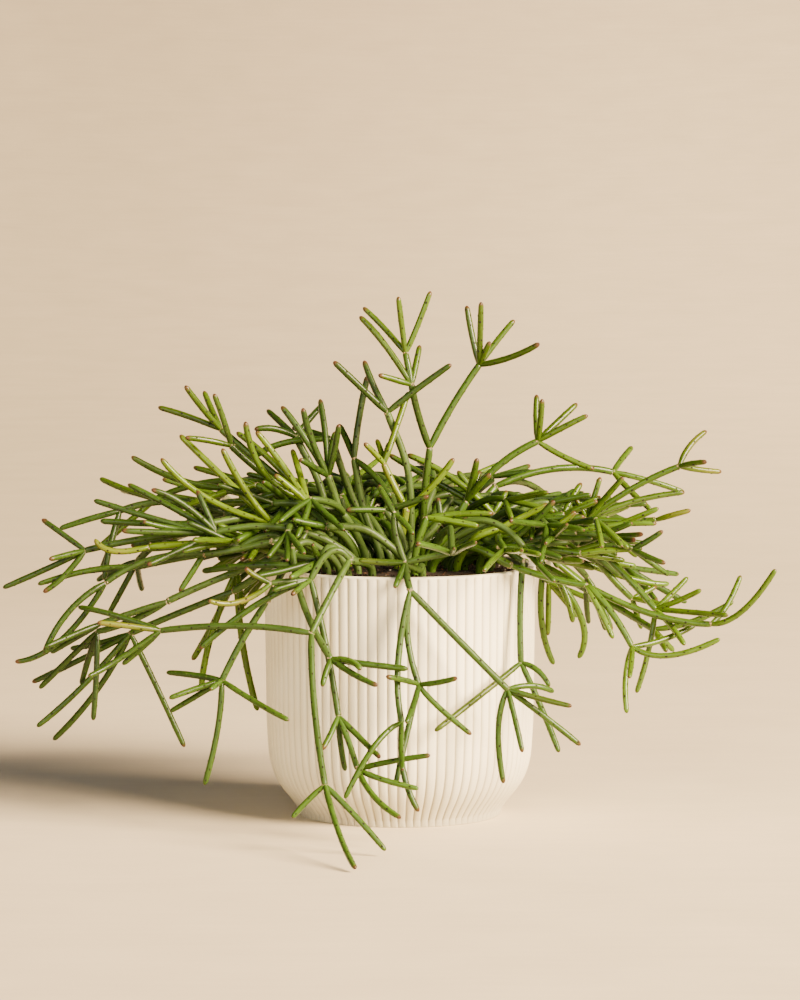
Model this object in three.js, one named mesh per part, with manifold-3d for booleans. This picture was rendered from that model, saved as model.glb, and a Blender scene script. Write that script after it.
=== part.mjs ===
// Potted rhipsalis neves-armondii: a reeded white pot, its soil and the branching stems that spill from it.
// Millimetres, Z up, origin at the middle of the underside of the foot. The front of the plant faces -Y.
import * as THREE from "three";
import { mergeVertices } from "three/addons/utils/BufferGeometryUtils.js";
import Module from "manifold-3d";

const wasm = await Module();
wasm.setup();

// Pot
const rimHeight = 140;
const rimRadius = 75.6;
const rimEdge = 0.7;
const reeds = 85;
const reedDepth = 0.8;
const reedTop = 137.8;
const firstGroove = -1.1;
const outerProfile = [
  [56.6, 0],
  [57.2, 3.8],
  [60.6, 8.5],
  [66.2, 15.5],
  [70.2, 22.5],
  [73.1, 33],
  [74.5, 52],
];
const innerProfile = [
  [71.2, 139.3],
  [69.8, 44],
  [55, 11],
];
const innerFloor = 9;

// Soil
const soilMiddle = 140;
const soilEdge = 137;
const soilRadius = 70.6;
const soilGap = 0.4;
const soilLump = 0.5;
const soilSides = 32;
const holeDepth = 12;
const holeGap = 0.4;
const holeSides = 6;

// Stems: radius by how many forks lie between the segment and the soil
const stemRadii = [2.15, 1.95, 1.85, 1.75];
const shootShare = 0.94;
const stemSides = 5;
const baseShare = 0.72;
const endShare = 0.93;
const neck = 0.4;
const collarHeight = 5;
const rootSpacing = 9;
const rootShift = 8;
const stemGap = 0.6;
const stemDetail = 0.3;
const soilDetail = 0.05;
const settlePasses = 260;
const reach = 26;
const floorGap = 0.5;

// The eye that sees the front of the plant: joints are written as they look from there
const eye = new THREE.Vector3(0, -2800, 421);

// Colours
const clayWhite = 0xeee8dc;
const soilBrown = 0x35261b;
const oldGreen = 0x6f8049;
const midGreen = 0x7c9436;
const brightGreen = 0x9cae38;

const group = new THREE.Group();
group.name = "potted_rhipsalis";

// A draw between 0 and 1 that is the same every time
let seed = 4127;
function draw() {
  seed = (seed * 16807) % 2147483647;
  return seed / 2147483647;
}

function between(low, high) {
  return low + (high - low) * draw();
}

// Closed geometry as a solid, with doubled corners joined and collapsed triangles left out
function solidOf(geometry) {
  geometry.deleteAttribute("normal");
  geometry.deleteAttribute("uv");
  const joined = mergeVertices(geometry, 1e-4);
  const corners = joined.index.array;
  const kept = [];
  for (let i = 0; i < corners.length; i += 3) {
    const [a, b, c] = [corners[i], corners[i + 1], corners[i + 2]];
    if (a !== b && b !== c && c !== a) kept.push(a, b, c);
  }
  return new wasm.Manifold(
    new wasm.Mesh({
      numProp: 3,
      vertProperties: new Float32Array(joined.attributes.position.array),
      triVerts: new Uint32Array(kept),
    }),
  );
}

function addNode(name, solid, color, roughness) {
  const mesh = solid.getMesh();
  const geometry = new THREE.BufferGeometry();
  geometry.setAttribute("position", new THREE.BufferAttribute(mesh.vertProperties, 3));
  geometry.setIndex(new THREE.BufferAttribute(mesh.triVerts, 1));
  geometry.computeVertexNormals();
  const material = new THREE.MeshStandardMaterial({ color, roughness, metalness: 0 });
  const node = new THREE.Mesh(geometry, material);
  node.name = name;
  group.add(node);
}

// A profile of [radius, height] pairs turned about the upright axis
function turned(profile, sides) {
  const outline = profile.map(([radius, height]) => new THREE.Vector2(radius, height));
  const geometry = new THREE.LatheGeometry(outline, sides);
  geometry.rotateX(Math.PI / 2);
  return geometry;
}

// Pot: every second column of its wall lies in a groove, from just under the rim to the foot
function makePot() {
  const wall = [
    [0, 0],
    ...outerProfile,
    [rimRadius, reedTop],
    [rimRadius, rimHeight - rimEdge],
    [rimRadius - rimEdge, rimHeight],
    [innerProfile[0][0] + rimEdge, rimHeight],
    ...innerProfile,
    [0, innerFloor],
  ];
  const geometry = turned(wall, reeds * 2);
  const place = geometry.attributes.position;
  const groovedRows = outerProfile.length + 1;
  for (let i = 0; i < place.count; i++) {
    const row = i % wall.length;
    const column = Math.floor(i / wall.length) % (reeds * 2);
    const inGroove = column % 2 === 0 && row >= 1 && row <= groovedRows;
    const share = inGroove ? 1 - reedDepth / wall[row][0] : 1;
    place.setX(i, place.getX(i) * share);
    place.setY(i, place.getY(i) * share);
  }
  geometry.rotateZ(THREE.MathUtils.degToRad(firstGroove));
  return solidOf(geometry);
}

function soilHeight(radius) {
  const share = Math.min(radius / soilRadius, 1);
  return soilMiddle - (soilMiddle - soilEdge) * share * share;
}

// Soil: fills the pot, lumpy on top, with an upright hole for each stem
function makeSoil(roots) {
  const rings = [soilRadius, 54, 32];
  const sides = innerProfile.slice(1).reverse();
  const profile = [
    [0, innerFloor + soilGap],
    ...sides.map(([radius, height]) => [radius - soilGap, height + soilGap]),
    ...rings.map((radius) => [radius, soilHeight(radius)]),
    [0, soilMiddle],
  ];
  const geometry = turned(profile, soilSides);
  const place = geometry.attributes.position;
  const firstRing = sides.length + 2;
  for (let i = 0; i < soilSides * profile.length; i++) {
    const row = i % profile.length;
    if (row < firstRing || row === profile.length - 1) continue;
    place.setZ(i, place.getZ(i) + between(-soilLump, soilLump));
  }
  for (let row = firstRing; row < profile.length - 1; row++) {
    place.setZ(soilSides * profile.length + row, place.getZ(row));
  }
  let soil = solidOf(geometry);
  for (const root of roots) {
    const radius = (root.radius + holeGap) / Math.cos(Math.PI / holeSides);
    const tall = holeDepth + soilGap + 20;
    const hole = new THREE.CylinderGeometry(radius, radius, tall, holeSides);
    hole.rotateX(Math.PI / 2);
    const low = soilHeight(Math.hypot(root.x, root.y)) - holeDepth - soilGap;
    hole.translate(root.x, root.y, low + tall / 2);
    soil = soil.subtract(solidOf(hole));
  }
  return soil.asOriginal().simplify(soilDetail);
}

// Where a joint written as [across, up, forward] lies: on the line from the eye through that spot
// of the upright plane through the pot's axis, so far in front of the plane
function seenAt([across, up, forward]) {
  const onPlane = new THREE.Vector3(across, 0, up);
  return onPlane.lerp(eye, forward / -eye.y);
}

// A joint and what grows from it. A plain array is a tip. Two more numbers after the first three say
// where the middle of the segment that leads there is seen, across and up.
function joint(at, ...grown) {
  return { at, grown };
}

const points = [];
const runs = [];
const sprays = [];

function addPoint(place, forward, free) {
  points.push({ place, forward, free });
  return points.length - 1;
}

function addRun(from, to, radius, spray) {
  runs.push({ from, to, radius, spray });
}

// Lays out a joint, the segment that leads to it and all that grows from it
function grow(spray, from, branch, forks) {
  const { at, middle, grown } = Array.isArray(branch) ? joint(branch) : branch;
  const isTip = grown.length === 0;
  const thickness = stemRadii[Math.min(forks, stemRadii.length - 1)];
  const radius = thickness * (isTip ? shootShare : 1) * between(0.96, 1.04);
  const isSeen = Array.isArray(at);
  const forward = isSeen ? at[2] : 0;
  const end = addPoint(isSeen ? seenAt(at) : at, forward, true);
  const chain = [from, end];
  if (isSeen && at.length > 3) {
    const halfway = (points[from].forward + forward) / 2;
    chain.splice(1, 0, addPoint(seenAt([at[3], at[4], halfway]), halfway, true));
  } else if (middle) {
    chain.splice(1, 0, addPoint(middle, forward, true));
  }
  for (let i = 1; i < chain.length; i++) addRun(chain[i - 1], chain[i], radius, spray);
  spray.segments.push({ chain, radius, isTip });
  for (const next of grown) grow(spray, end, next, forks + 1);
}

// A spray stands upright in the soil at x and y before its first segment sets off
function addSpray(name, color, x, y, ...first) {
  const radius = stemRadii[0];
  const ground = soilHeight(Math.hypot(x, y));
  const bottom = addPoint(new THREE.Vector3(x, y, ground - holeDepth), -y, false);
  const collar = addPoint(new THREE.Vector3(x, y, ground + collarHeight), -y, false);
  const spray = { name, color, segments: [], root: { x, y, radius, bottom, collar } };
  sprays.push(spray);
  for (const branch of first) grow(spray, collar, branch, 0);
}

// Stems that the front shows, from the top down

addSpray(
  "stem_top_middle",
  midGreen,
  12,
  4,
  joint(
    [16.5, 204.5, 0, 13.6, 178],
    joint(
      [5.5, 239.5, 6, 10, 223],
      [-12, 245.5, 16],
      [-22.5, 278, -4, -9, 263],
      [11, 262, -6],
      joint([3, 257.5, 2], [-20.5, 283, -10], [-1, 289, 8], [17, 292, -4, 9, 271]),
    ),
    joint(
      [44, 251, -12, 29, 228],
      [37, 284, -20],
      [45, 286, 0],
      [63.5, 276, -22],
      [77.5, 263, 6, 62, 255.5],
      [50, 264, -4],
    ),
  ),
);

addSpray(
  "stem_top_dark",
  oldGreen,
  6,
  -10,
  joint([-5, 223.5, 8, 5, 190], [-37, 253, 14], [-20, 253.5, -2], [29, 251, 12]),
);

addSpray(
  "stem_middle_bright",
  brightGreen,
  -1,
  -20,
  joint(
    [3.5, 171, 22],
    joint([-9, 196, 20, -3.5, 184], [-20, 207.5, 28], [-6, 208, 14], [4.5, 237, 4, -3, 217], [-13, 209.5, 6]),
    [30, 199, 28, 17, 182.5],
  ),
);

addSpray(
  "stem_top_right",
  midGreen,
  15,
  -16,
  joint(
    [37, 175, 12, 25, 155],
    joint(
      [76.5, 208.5, 0, 55, 195],
      [76, 234.5, -12],
      [79, 232, 8],
      [98.5, 229.5, -18],
      [104.5, 223, 4],
      [108, 193, 2, 92, 199.5],
    ),
    [43, 199, 20],
    [50.5, 190.5, 22],
    [44.5, 192, 2],
  ),
);

addSpray(
  "stem_middle_back",
  midGreen,
  42,
  12,
  joint([52, 168, -12], [32, 192, -16], [-6, 201, -24, 25, 183], [4, 201, -14, 29, 188], [59.5, 181, -20]),
);

addSpray(
  "stem_right_hub",
  midGreen,
  34,
  2,
  joint(
    [70, 163, -2],
    joint(
      [104, 165, -2, 88, 162],
      joint([155.5, 194.5, 2, 130, 182.5], [170.5, 214.3, -10, 161, 205.5], [170.8, 197, 14], [179, 191.5, -4]),
      [158.5, 180, -18, 130, 175],
      [111.5, 188.5, -6],
      [124.5, 188.5, 10],
      joint([142.5, 164.5, 8, 124, 164], [162, 170, 14]),
    ),
    [89, 176, -22, 78, 169],
  ),
);

addSpray(
  "stem_right_rim",
  oldGreen,
  27,
  -12,
  joint(
    [44, 155, 32],
    joint(
      [56, 149.5, 40],
      joint(
        [68.5, 141.5, 46],
        joint([67.5, 84.5, 54, 67, 114], [19.5, 46, 88, 46, 67], [83.5, 71, 62, 77, 80], [89, 34, 72, 79, 59]),
      ),
      joint(
        [98, 157, 46, 76, 154],
        joint([129.5, 148.2, 54, 115, 155], [146.5, 158.5, 58], [148, 140.2, 66], [150, 133.5, 46]),
      ),
      [86, 175.5, 52, 72, 161],
    ),
  ),
);

addSpray(
  "stem_right_front",
  midGreen,
  19,
  -36,
  joint(
    [62, 139, 54, 38, 149.5],
    joint(
      [104, 128, 60, 84, 132],
      joint([173.5, 107.5, 66, 140, 112.5], [190, 133.5, 50, 182, 116], [209.5, 137, 78, 191, 113.5]),
      joint([129.5, 93.5, 74, 117, 114], [178.7, 98, 84, 150, 88.5], [165, 106, 56, 147, 98], [126.8, 56, 88, 126, 76], [128, 76, 104]),
      [119, 98, 72, 111.5, 114],
    ),
  ),
);

addSpray(
  "stem_right_long",
  midGreen,
  38,
  -18,
  joint(
    [72, 153, 28],
    joint(
      [99, 158, 30],
      joint([142.5, 114.3, 50, 121, 138], [160.5, 132.5, 40], [168, 125.5, 62], [159, 94, 74], [132, 67.5, 62, 138.5, 90], [183, 111, 76, 163, 111]),
      joint([128.5, 120, 22, 113, 138], [143, 127.5, 14], [147, 117, 30], [134, 103, 18]),
    ),
    [131.5, 139, 18, 114, 142],
    [150, 129, 8, 124, 133],
  ),
);

addSpray(
  "stem_right_low",
  midGreen,
  48,
  22,
  joint(
    [80, 138, -22, 66, 147],
    joint([142, 104, 34, 115, 120], [149, 90.5, 46], [153, 91, 26], [186, 119, 34, 163, 107.5]),
    [96.5, 107, -16, 91, 126],
    [99.5, 87, -30, 101, 110],
    [86, 83.5, -26, 79, 108],
  ),
);

addSpray(
  "stem_left_arch",
  midGreen,
  -22,
  2,
  joint(
    [-52, 176, 2, -34, 160],
    joint([-99.5, 215, -12, -74, 193.5], [-134.5, 227.5, -20], [-119.5, 239.5, -2], [-109, 236.5, -24]),
    joint([-94, 206, 8, -74, 189], [-119.5, 210.5, 18], [-103.5, 235, 14]),
    [-91, 213.5, -8, -72, 198],
    [-86, 219.5, 20, -75, 190],
  ),
);

addSpray(
  "stem_left_bright",
  brightGreen,
  -30,
  -10,
  joint([-72, 163, 20, -50, 156], [-99, 204.5, 28, -86, 181], [-133, 199, 24, -108, 177], [-122.5, 212, 4, -99, 189]),
);

addSpray(
  "stem_left_shade",
  midGreen,
  -26,
  16,
  joint(
    [-80, 184, -20, -50, 168],
    [-149.5, 200, -14, -114, 184.5],
    [-115, 194, -30],
    [-122, 171.5, -6, -101, 179],
  ),
);

addSpray(
  "stem_left_old",
  oldGreen,
  -24,
  -38,
  joint(
    [-51, 157.5, 46, -37, 151],
    joint(
      [-102.5, 157, 42, -78, 161],
      [-151.5, 184.5, 28],
      [-138.5, 181.5, 50, -121, 173.5],
      [-113, 181, 36, -108.5, 171],
      [-170.5, 175.5, 40, -125, 162],
      [-155, 158.5, 56],
      [-141, 138.5, 62],
      [-123, 124, 50],
      joint(
        [-175.5, 147.5, 44, -137, 155],
        [-199.5, 165, 34],
        [-195.5, 142.5, 60],
        [-221.5, 126.5, 46],
        [-199, 124, 54, -187, 133.5],
      ),
    ),
    joint(
      [-74, 119, 66, -63, 139],
      joint([-99.5, 74.5, 72, -88, 97], [-130.5, 79, 60], [-129, 64.5, 84], [-128.5, 57, 66], [-106, 69.5, 90], [-109.5, 15.5, 80, -102, 47], [-62, 52, 92, -80, 62]),
    ),
  ),
);

addSpray(
  "stem_left_long",
  oldGreen,
  -41,
  -34,
  joint(
    [-72, 152.5, 52, -56, 153],
    joint([-109, 146, 50, -91, 148], joint([-148, 138, 40, -129, 142], [-183, 134.5, 34], [-202, 128.5, 46, -172, 136.5]), joint([-164.5, 129, 58, -139, 143], [-198.5, 89.5, 72, -184, 112], [-215, 85, 62, -190, 97])),
  ),
);

addSpray(
  "stem_left_low",
  oldGreen,
  -42,
  -24,
  joint(
    [-66, 144, 46, -56, 148],
    joint(
      [-130, 119, 54, -98, 133],
      joint([-167, 106.5, 60, -148, 113], [-195, 90, 50], [-199, 93, 76]),
      joint([-169, 102, 44, -150, 108], [-201.5, 70, 36], [-171.5, 52, 50], [-178, 72, 28]),
    ),
    joint(
      [-93, 124.5, 36, -80, 133],
      joint([-150.5, 101, 30, -122, 113], [-205.5, 73.5, 20, -178, 86.5], [-203, 48.5, 36, -178, 71], [-194, 41, 18, -170, 68], [-120.5, 37, 34, -136, 71], [-184, 92.5, 14]),
    ),
  ),
);

addSpray(
  "stem_front_left",
  oldGreen,
  -16,
  -52,
  joint(
    [-28, 142, 67],
    joint(
      [-49.5, 101, 98, -37.5, 125],
      joint([-133.5, 102.5, 74, -90, 105], [-179.5, 117, 62, -160, 111.5], [-169, 107, 84], [-174, 77, 92, -160, 84.5], [-155, 83.5, 66]),
      joint([-42, 15.5, 146, -48, 61], [-60.5, -3, 152], [-8, -21.5, 158], [-25, -31.5, 211, -34, -12]),
    ),
    joint(
      [-50, 130.5, 74, -38.5, 147],
      [-112, 92.5, 82, -80, 117],
      joint([-72, 129, 84], [-86, 138, 88, -82, 134], [-107, 119.5, 98, -90, 118.5]),
      joint(
        [-34.5, 54.5, 98, -42, 93],
        [-43.5, 35.5, 112],
        [-30.5, 23.5, 96],
        [-11.5, 30.5, 118, -20, 40],
        joint([-24.5, 26, 114], [16.5, 33.5, 128], [10.5, 13.5, 122, -9, 18.5], [0.5, -3, 140, -14, 8.5]),
      ),
    ),
  ),
);

addSpray(
  "stem_front_hook",
  oldGreen,
  -34,
  -42,
  joint(
    [-60, 149, 60, -52, 152],
    joint([-38, 86.5, 94, -53.5, 118], [-22, 80.5, 108, -28, 85.5], [4.5, 81, 100], [-12.5, 71.5, 112], [-43.5, 71, 104]),
  ),
);

addSpray(
  "stem_front_middle",
  oldGreen,
  12,
  -54,
  joint(
    [3, 140, 72, 10, 136.5],
    joint([-3, 168, 62, -2, 155], [7.5, 156.5, 74], [-12, 184, 54]),
    joint(
      [6, 124.5, 83],
      joint([9.5, 72, 92, 3.5, 100], [-8.5, 76.5, 106], [32, 76, 104], [40, 44, 98, 20, 61], [3.5, 50.5, 116], [-1.5, 16, 112, 4.5, 46]),
      joint([1.5, 50.5, 104, 0.5, 84], [-30.5, 7.5, 124, -13, 37], [10.5, 0.5, 118, 0.5, 23], [2, 23, 134]),
      joint([60, 69.5, 90, 30, 100], [86, 68, 78, 74, 71.5], [96, 60, 98], [101, 38, 84], [68.5, 34, 104], [58, 16.5, 96, 55, 47]),
    ),
    [-3, 126.5, 84],
    [34, 147, 72, 20, 144.5],
    [-23, 142, 72],
  ),
);

addSpray(
  "stem_inner_left",
  oldGreen,
  -33,
  2,
  joint(
    [-40, 189, 14, -33, 166],
    [-34, 218, 20],
    [-36, 214, 4],
    [-54, 227, 24, -49, 209],
    [-66, 228, 6, -54, 212],
    [-56, 198.5, 28],
    [-44.5, 232, -6],
  ),
);

addSpray(
  "stem_inner_middle",
  oldGreen,
  -11,
  4,
  joint([-25.5, 198.5, -6, -20, 170], [-18, 245, -14, -23, 220], [-34, 218, -18], [-5, 177, 8, -14, 189]),
);

addSpray(
  "stem_inner_shade",
  oldGreen,
  -38,
  12,
  joint([-58, 211, -18, -44, 182], [-81, 215, -10, -70, 215.5], [-74, 226, -30], [-43, 229, -30]),
);

addSpray(
  "stem_middle_low",
  oldGreen,
  3,
  -37,
  joint([-41, 161, 46, -18, 158.5], [-60, 165, 56], [-53, 172, 34]),
  joint([22.5, 164, 26], [21, 177, 22], [38, 165, 32]),
);

addSpray(
  "stem_left_hanging",
  midGreen,
  -46,
  -6,
  joint([-91, 136, -6, -70, 148], [-79.5, 57.5, -14, -88, 96], [-111, 70, -2, -105, 101], [-116, 86, -24]),
);

// Stems of the back, which follow one habit: up and out, a fork, then longer ones that droop
const backTurns = [12, 38, 64, 90, 116, 142, 168];
const backNames = ["a", "b", "c", "d", "e", "f", "g"];

function heading(turn, lift) {
  const around = THREE.MathUtils.degToRad(turn);
  const rise = THREE.MathUtils.degToRad(lift);
  return new THREE.Vector3(Math.cos(around) * Math.cos(rise), Math.sin(around) * Math.cos(rise), Math.sin(rise));
}

// A segment of the given length, its middle lifted a little above the straight line
function branchTo(from, turn, lift, length, rise, ...grown) {
  const at = from.clone().addScaledVector(heading(turn, lift), length);
  const middle = from.clone().lerp(at, 0.5);
  middle.z += rise;
  return { at, middle, grown };
}

function whorl(from, turn, lift, count, longest) {
  const tips = [];
  for (let i = 0; i < count; i++) {
    const share = count === 1 ? 0 : i / (count - 1) - 0.5;
    const tipTurn = turn + share * 90 + between(-12, 12);
    const tipLift = lift + between(-34, 30);
    tips.push({ ...branchTo(from, tipTurn, tipLift, between(0.7, 1) * longest, 0), middle: null });
  }
  return tips;
}

// A spot in the soil on the side of the given turn that no other stem stands near
function freeSpot(turn) {
  for (;;) {
    const spot = heading(turn + between(-15, 15), 0).multiplyScalar(between(16, 52));
    spot.y += rootShift;
    const isFree = sprays.every(({ root }) => Math.hypot(root.x - spot.x, root.y - spot.y) > rootSpacing);
    if (isFree) return spot;
  }
}

function addBackSpray(name, turn, isHigh) {
  const { x, y } = freeSpot(turn);
  const collar = new THREE.Vector3(x, y, soilHeight(Math.hypot(x, y)) + collarHeight);
  const first = branchTo(collar, turn, isHigh ? 44 : 24, between(44, 56), isHigh ? 2 : 9);
  for (let i = 0; i < 2; i++) {
    const nextTurn = turn + (i ? 24 : -22) + between(-8, 8);
    const nextLift = isHigh ? between(-12, 14) : between(-34, 4);
    const next = branchTo(first.at, nextTurn, nextLift, between(54, 76), 6);
    next.grown = whorl(next.at, nextTurn, isHigh ? -6 : -36, 3, 44);
    first.grown.push(next);
  }
  addSpray(name, isHigh ? midGreen : oldGreen, x, y, first);
}

backTurns.forEach((turn, i) => addBackSpray("stem_back_" + backNames[i], turn, i % 2 === 1));

// Bends crossing stems clear of one another, of the pot and of the ground

// How far along two straight runs the spots lie where they come nearest
function nearestSpots(a, b, c, d) {
  const along = b.clone().sub(a);
  const other = d.clone().sub(c);
  const apart = a.clone().sub(c);
  const aa = along.dot(along);
  const bb = other.dot(other);
  const ab = along.dot(other);
  const pa = along.dot(apart);
  const pb = other.dot(apart);
  const spread = aa * bb - ab * ab;
  let s = spread > 1e-9 ? (ab * pb - bb * pa) / spread : 0;
  s = THREE.MathUtils.clamp(s, 0, 1);
  let t = (ab * s + pb) / bb;
  if (t < 0 || t > 1) {
    t = THREE.MathUtils.clamp(t, 0, 1);
    s = THREE.MathUtils.clamp((ab * t - pa) / aa, 0, 1);
  }
  return [s, t];
}

function push(index, move) {
  const point = points[index];
  point.moved.add(move);
  point.pushes += 1;
}

// Shares a push among the ends of a run
function pushRun(run, share, move) {
  if (points[run.from].free) push(run.from, move.clone().multiplyScalar(1 - share));
  if (points[run.to].free) push(run.to, move.clone().multiplyScalar(share));
}

function weightOf(run, share) {
  const start = points[run.from].free ? (1 - share) ** 2 : 0;
  const end = points[run.to].free ? share ** 2 : 0;
  return start + end;
}

function partRuns(one, two) {
  const [a, b] = [points[one.from].place, points[one.to].place];
  const [c, d] = [points[two.from].place, points[two.to].place];
  const [s, t] = nearestSpots(a, b, c, d);
  const apart = a.clone().lerp(b, s).sub(c.clone().lerp(d, t));
  const distance = apart.length();
  const needed = one.radius + two.radius + stemGap;
  if (distance >= needed) return;
  const weight = weightOf(one, s) + weightOf(two, t);
  if (weight < 1e-6 || distance < 1e-6) return;
  const move = apart.multiplyScalar((needed - distance) / distance / weight);
  pushRun(one, s, move);
  pushRun(two, t, move.clone().negate());
}

function wallRadius(height) {
  const wall = [...outerProfile, [rimRadius, rimHeight]];
  for (let i = 1; i < wall.length; i++) {
    if (height > wall[i][1]) continue;
    const share = Math.max(0, (height - wall[i - 1][1]) / (wall[i][1] - wall[i - 1][1]));
    return THREE.MathUtils.lerp(wall[i - 1][0], wall[i][0], share);
  }
  return rimRadius;
}

// The move that takes a spot of a stem out of the pot and the soil
function wayOut(spot, clear) {
  const out = Math.hypot(spot.x, spot.y);
  const outward = new THREE.Vector3(spot.x / out, spot.y / out, 0);
  const up = new THREE.Vector3(0, 0, 1);
  if (spot.z >= rimHeight && out > rimRadius) {
    const corner = new THREE.Vector2(out - rimRadius, spot.z - rimHeight);
    const distance = corner.length();
    if (distance >= clear || distance < 1e-6) return null;
    const move = outward.multiplyScalar(corner.x).addScaledVector(up, corner.y);
    return move.multiplyScalar((clear - distance) / distance);
  }
  const overRim = out > soilRadius - clear;
  const top = overRim ? rimHeight : soilHeight(out);
  const rise = top + clear - spot.z;
  const side = wallRadius(spot.z) + clear - out;
  if (rise <= 0 || side <= 0) return null;
  return rise < side ? up.multiplyScalar(rise) : outward.multiplyScalar(side);
}

function clearPot(run) {
  const clear = run.radius + stemGap;
  for (const share of [0.2, 0.4, 0.6, 0.8, 1]) {
    const spot = points[run.from].place.clone().lerp(points[run.to].place, share);
    const move = wayOut(spot, clear);
    const weight = weightOf(run, share);
    if (move && weight > 1e-6) pushRun(run, share, move.multiplyScalar(1 / weight));
    const low = run.radius + floorGap - spot.z;
    if (low > 0 && weight > 1e-6) pushRun(run, share, new THREE.Vector3(0, 0, low / weight));
  }
}

function nearPairs() {
  const pairs = [];
  const middles = runs.map((run) => points[run.from].place.clone().lerp(points[run.to].place, 0.5));
  const halves = runs.map((run) => points[run.from].place.distanceTo(points[run.to].place) / 2);
  for (let i = 0; i < runs.length; i++) {
    for (let j = i + 1; j < runs.length; j++) {
      const [one, two] = [runs[i], runs[j]];
      if (one.from === two.from || one.to === two.from || one.from === two.to) continue;
      if (middles[i].distanceTo(middles[j]) < halves[i] + halves[j] + reach) pairs.push([one, two]);
    }
  }
  return pairs;
}

function settle() {
  for (const spray of sprays) addRun(spray.root.bottom, spray.root.collar, spray.root.radius, spray);
  let pairs = [];
  for (let pass = 0; pass < settlePasses; pass++) {
    if (pass % 20 === 0) pairs = nearPairs();
    for (const point of points) {
      point.moved = new THREE.Vector3();
      point.pushes = 0;
    }
    for (const [one, two] of pairs) partRuns(one, two);
    for (const run of runs) clearPot(run);
    for (const point of points) {
      if (point.pushes) point.place.addScaledVector(point.moved, 1 / Math.max(1, point.pushes / 2));
    }
  }
}

settle();

// A round bar bent along a line of places, with a radius at each; a radius of 0 ends it in a point
function bar(places, radii) {
  const geometry = new THREE.CylinderGeometry(1, 1, 1, stemSides, places.length - 1);
  const place = geometry.attributes.position;
  const chord = places[places.length - 1].clone().sub(places[0]).normalize();
  const flat = Math.abs(chord.z) < 0.9 ? new THREE.Vector3(0, 0, 1) : new THREE.Vector3(1, 0, 0);
  const side = chord.clone().cross(flat).normalize();
  const rings = places.map((at, i) => {
    const before = places[Math.max(0, i - 1)];
    const after = places[Math.min(places.length - 1, i + 1)];
    const along = after.clone().sub(before).normalize();
    const across = side.clone().addScaledVector(along, -side.dot(along)).normalize();
    return { at, across, upward: along.clone().cross(across) };
  });
  for (let i = 0; i < place.count; i++) {
    const row = Math.round((place.getY(i) + 0.5) * (places.length - 1));
    const { at, across, upward } = rings[row];
    const spot = at.clone().addScaledVector(across, place.getX(i) * radii[row]);
    spot.addScaledVector(upward, -place.getZ(i) * radii[row]);
    place.setXYZ(i, spot.x, spot.y, spot.z);
  }
  return solidOf(geometry);
}

// One segment: slender where it leaves the joint, full along its length, closed in a blunt point
function segmentBar({ chain, radius, isTip }, root) {
  const line = chain.map((index) => points[index].place);
  const last = line.length - 1;
  const setOff = line[1].clone().sub(line[0]).normalize();
  const arrive = line[last].clone().sub(line[last - 1]).normalize();
  const fromSoil = chain[0] === root.collar;
  const ahead = isTip ? 0 : neck * radius;
  const places = [];
  const radii = [];
  if (fromSoil) {
    places.push(points[root.bottom].place, line[0]);
    radii.push(root.radius, root.radius);
  } else {
    places.push(line[0].clone().addScaledVector(setOff, -neck * radius));
    radii.push(baseShare * radius);
  }
  for (const middle of line.slice(1, last)) {
    places.push(middle);
    radii.push(radius);
  }
  places.push(line[last].clone().addScaledVector(arrive, ahead - 1.5 * radius));
  radii.push(endShare * radius);
  places.push(line[last].clone().addScaledVector(arrive, ahead));
  radii.push(0);
  return bar(places, radii);
}

for (const spray of sprays) {
  const bars = spray.segments.map((segment) => segmentBar(segment, spray.root));
  addNode(spray.name, wasm.Manifold.union(bars).asOriginal().simplify(stemDetail), spray.color, 0.42);
}

addNode("pot", makePot(), clayWhite, 0.62);
addNode(
  "soil",
  makeSoil(sprays.map((spray) => spray.root)),
  soilBrown,
  0.95,
);

export default group;
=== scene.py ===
import math
import bpy
import numpy as np
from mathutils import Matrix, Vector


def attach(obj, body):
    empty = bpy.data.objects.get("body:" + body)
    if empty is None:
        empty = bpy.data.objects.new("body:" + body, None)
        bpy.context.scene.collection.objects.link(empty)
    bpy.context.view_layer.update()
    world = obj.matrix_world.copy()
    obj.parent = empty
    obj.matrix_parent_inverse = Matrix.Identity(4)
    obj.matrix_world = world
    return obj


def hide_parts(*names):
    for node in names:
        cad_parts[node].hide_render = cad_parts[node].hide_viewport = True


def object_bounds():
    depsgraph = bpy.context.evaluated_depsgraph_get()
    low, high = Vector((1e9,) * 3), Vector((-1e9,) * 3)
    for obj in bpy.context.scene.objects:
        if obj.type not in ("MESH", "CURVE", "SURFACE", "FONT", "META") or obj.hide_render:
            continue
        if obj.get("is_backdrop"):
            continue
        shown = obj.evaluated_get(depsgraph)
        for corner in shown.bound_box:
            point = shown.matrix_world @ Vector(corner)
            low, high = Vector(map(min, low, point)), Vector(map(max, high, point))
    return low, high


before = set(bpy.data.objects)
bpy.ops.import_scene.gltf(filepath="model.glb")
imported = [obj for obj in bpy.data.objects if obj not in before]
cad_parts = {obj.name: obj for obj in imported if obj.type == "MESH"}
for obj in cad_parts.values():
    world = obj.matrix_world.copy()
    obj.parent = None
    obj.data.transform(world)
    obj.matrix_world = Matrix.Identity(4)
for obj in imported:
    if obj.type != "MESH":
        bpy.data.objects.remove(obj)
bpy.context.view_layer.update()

# Potted rhipsalis: a jointed, trailing cactus in a reeded white pot.
# Everything is worked out in millimetres and turned to metres when a mesh is made.

metresPerMm = 0.001
roundTurn = 6.28    # radians, for random turns
tiny, nearZero = 1e-6, 1e-9


def linear(hexColour):
    values = [int(hexColour[i:i + 2], 16) / 255 for i in (1, 3, 5)]
    return tuple(v / 12.92 if v <= 0.04045 else ((v + 0.055) / 1.055) ** 2.4 for v in values) + (1.0,)


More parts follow.
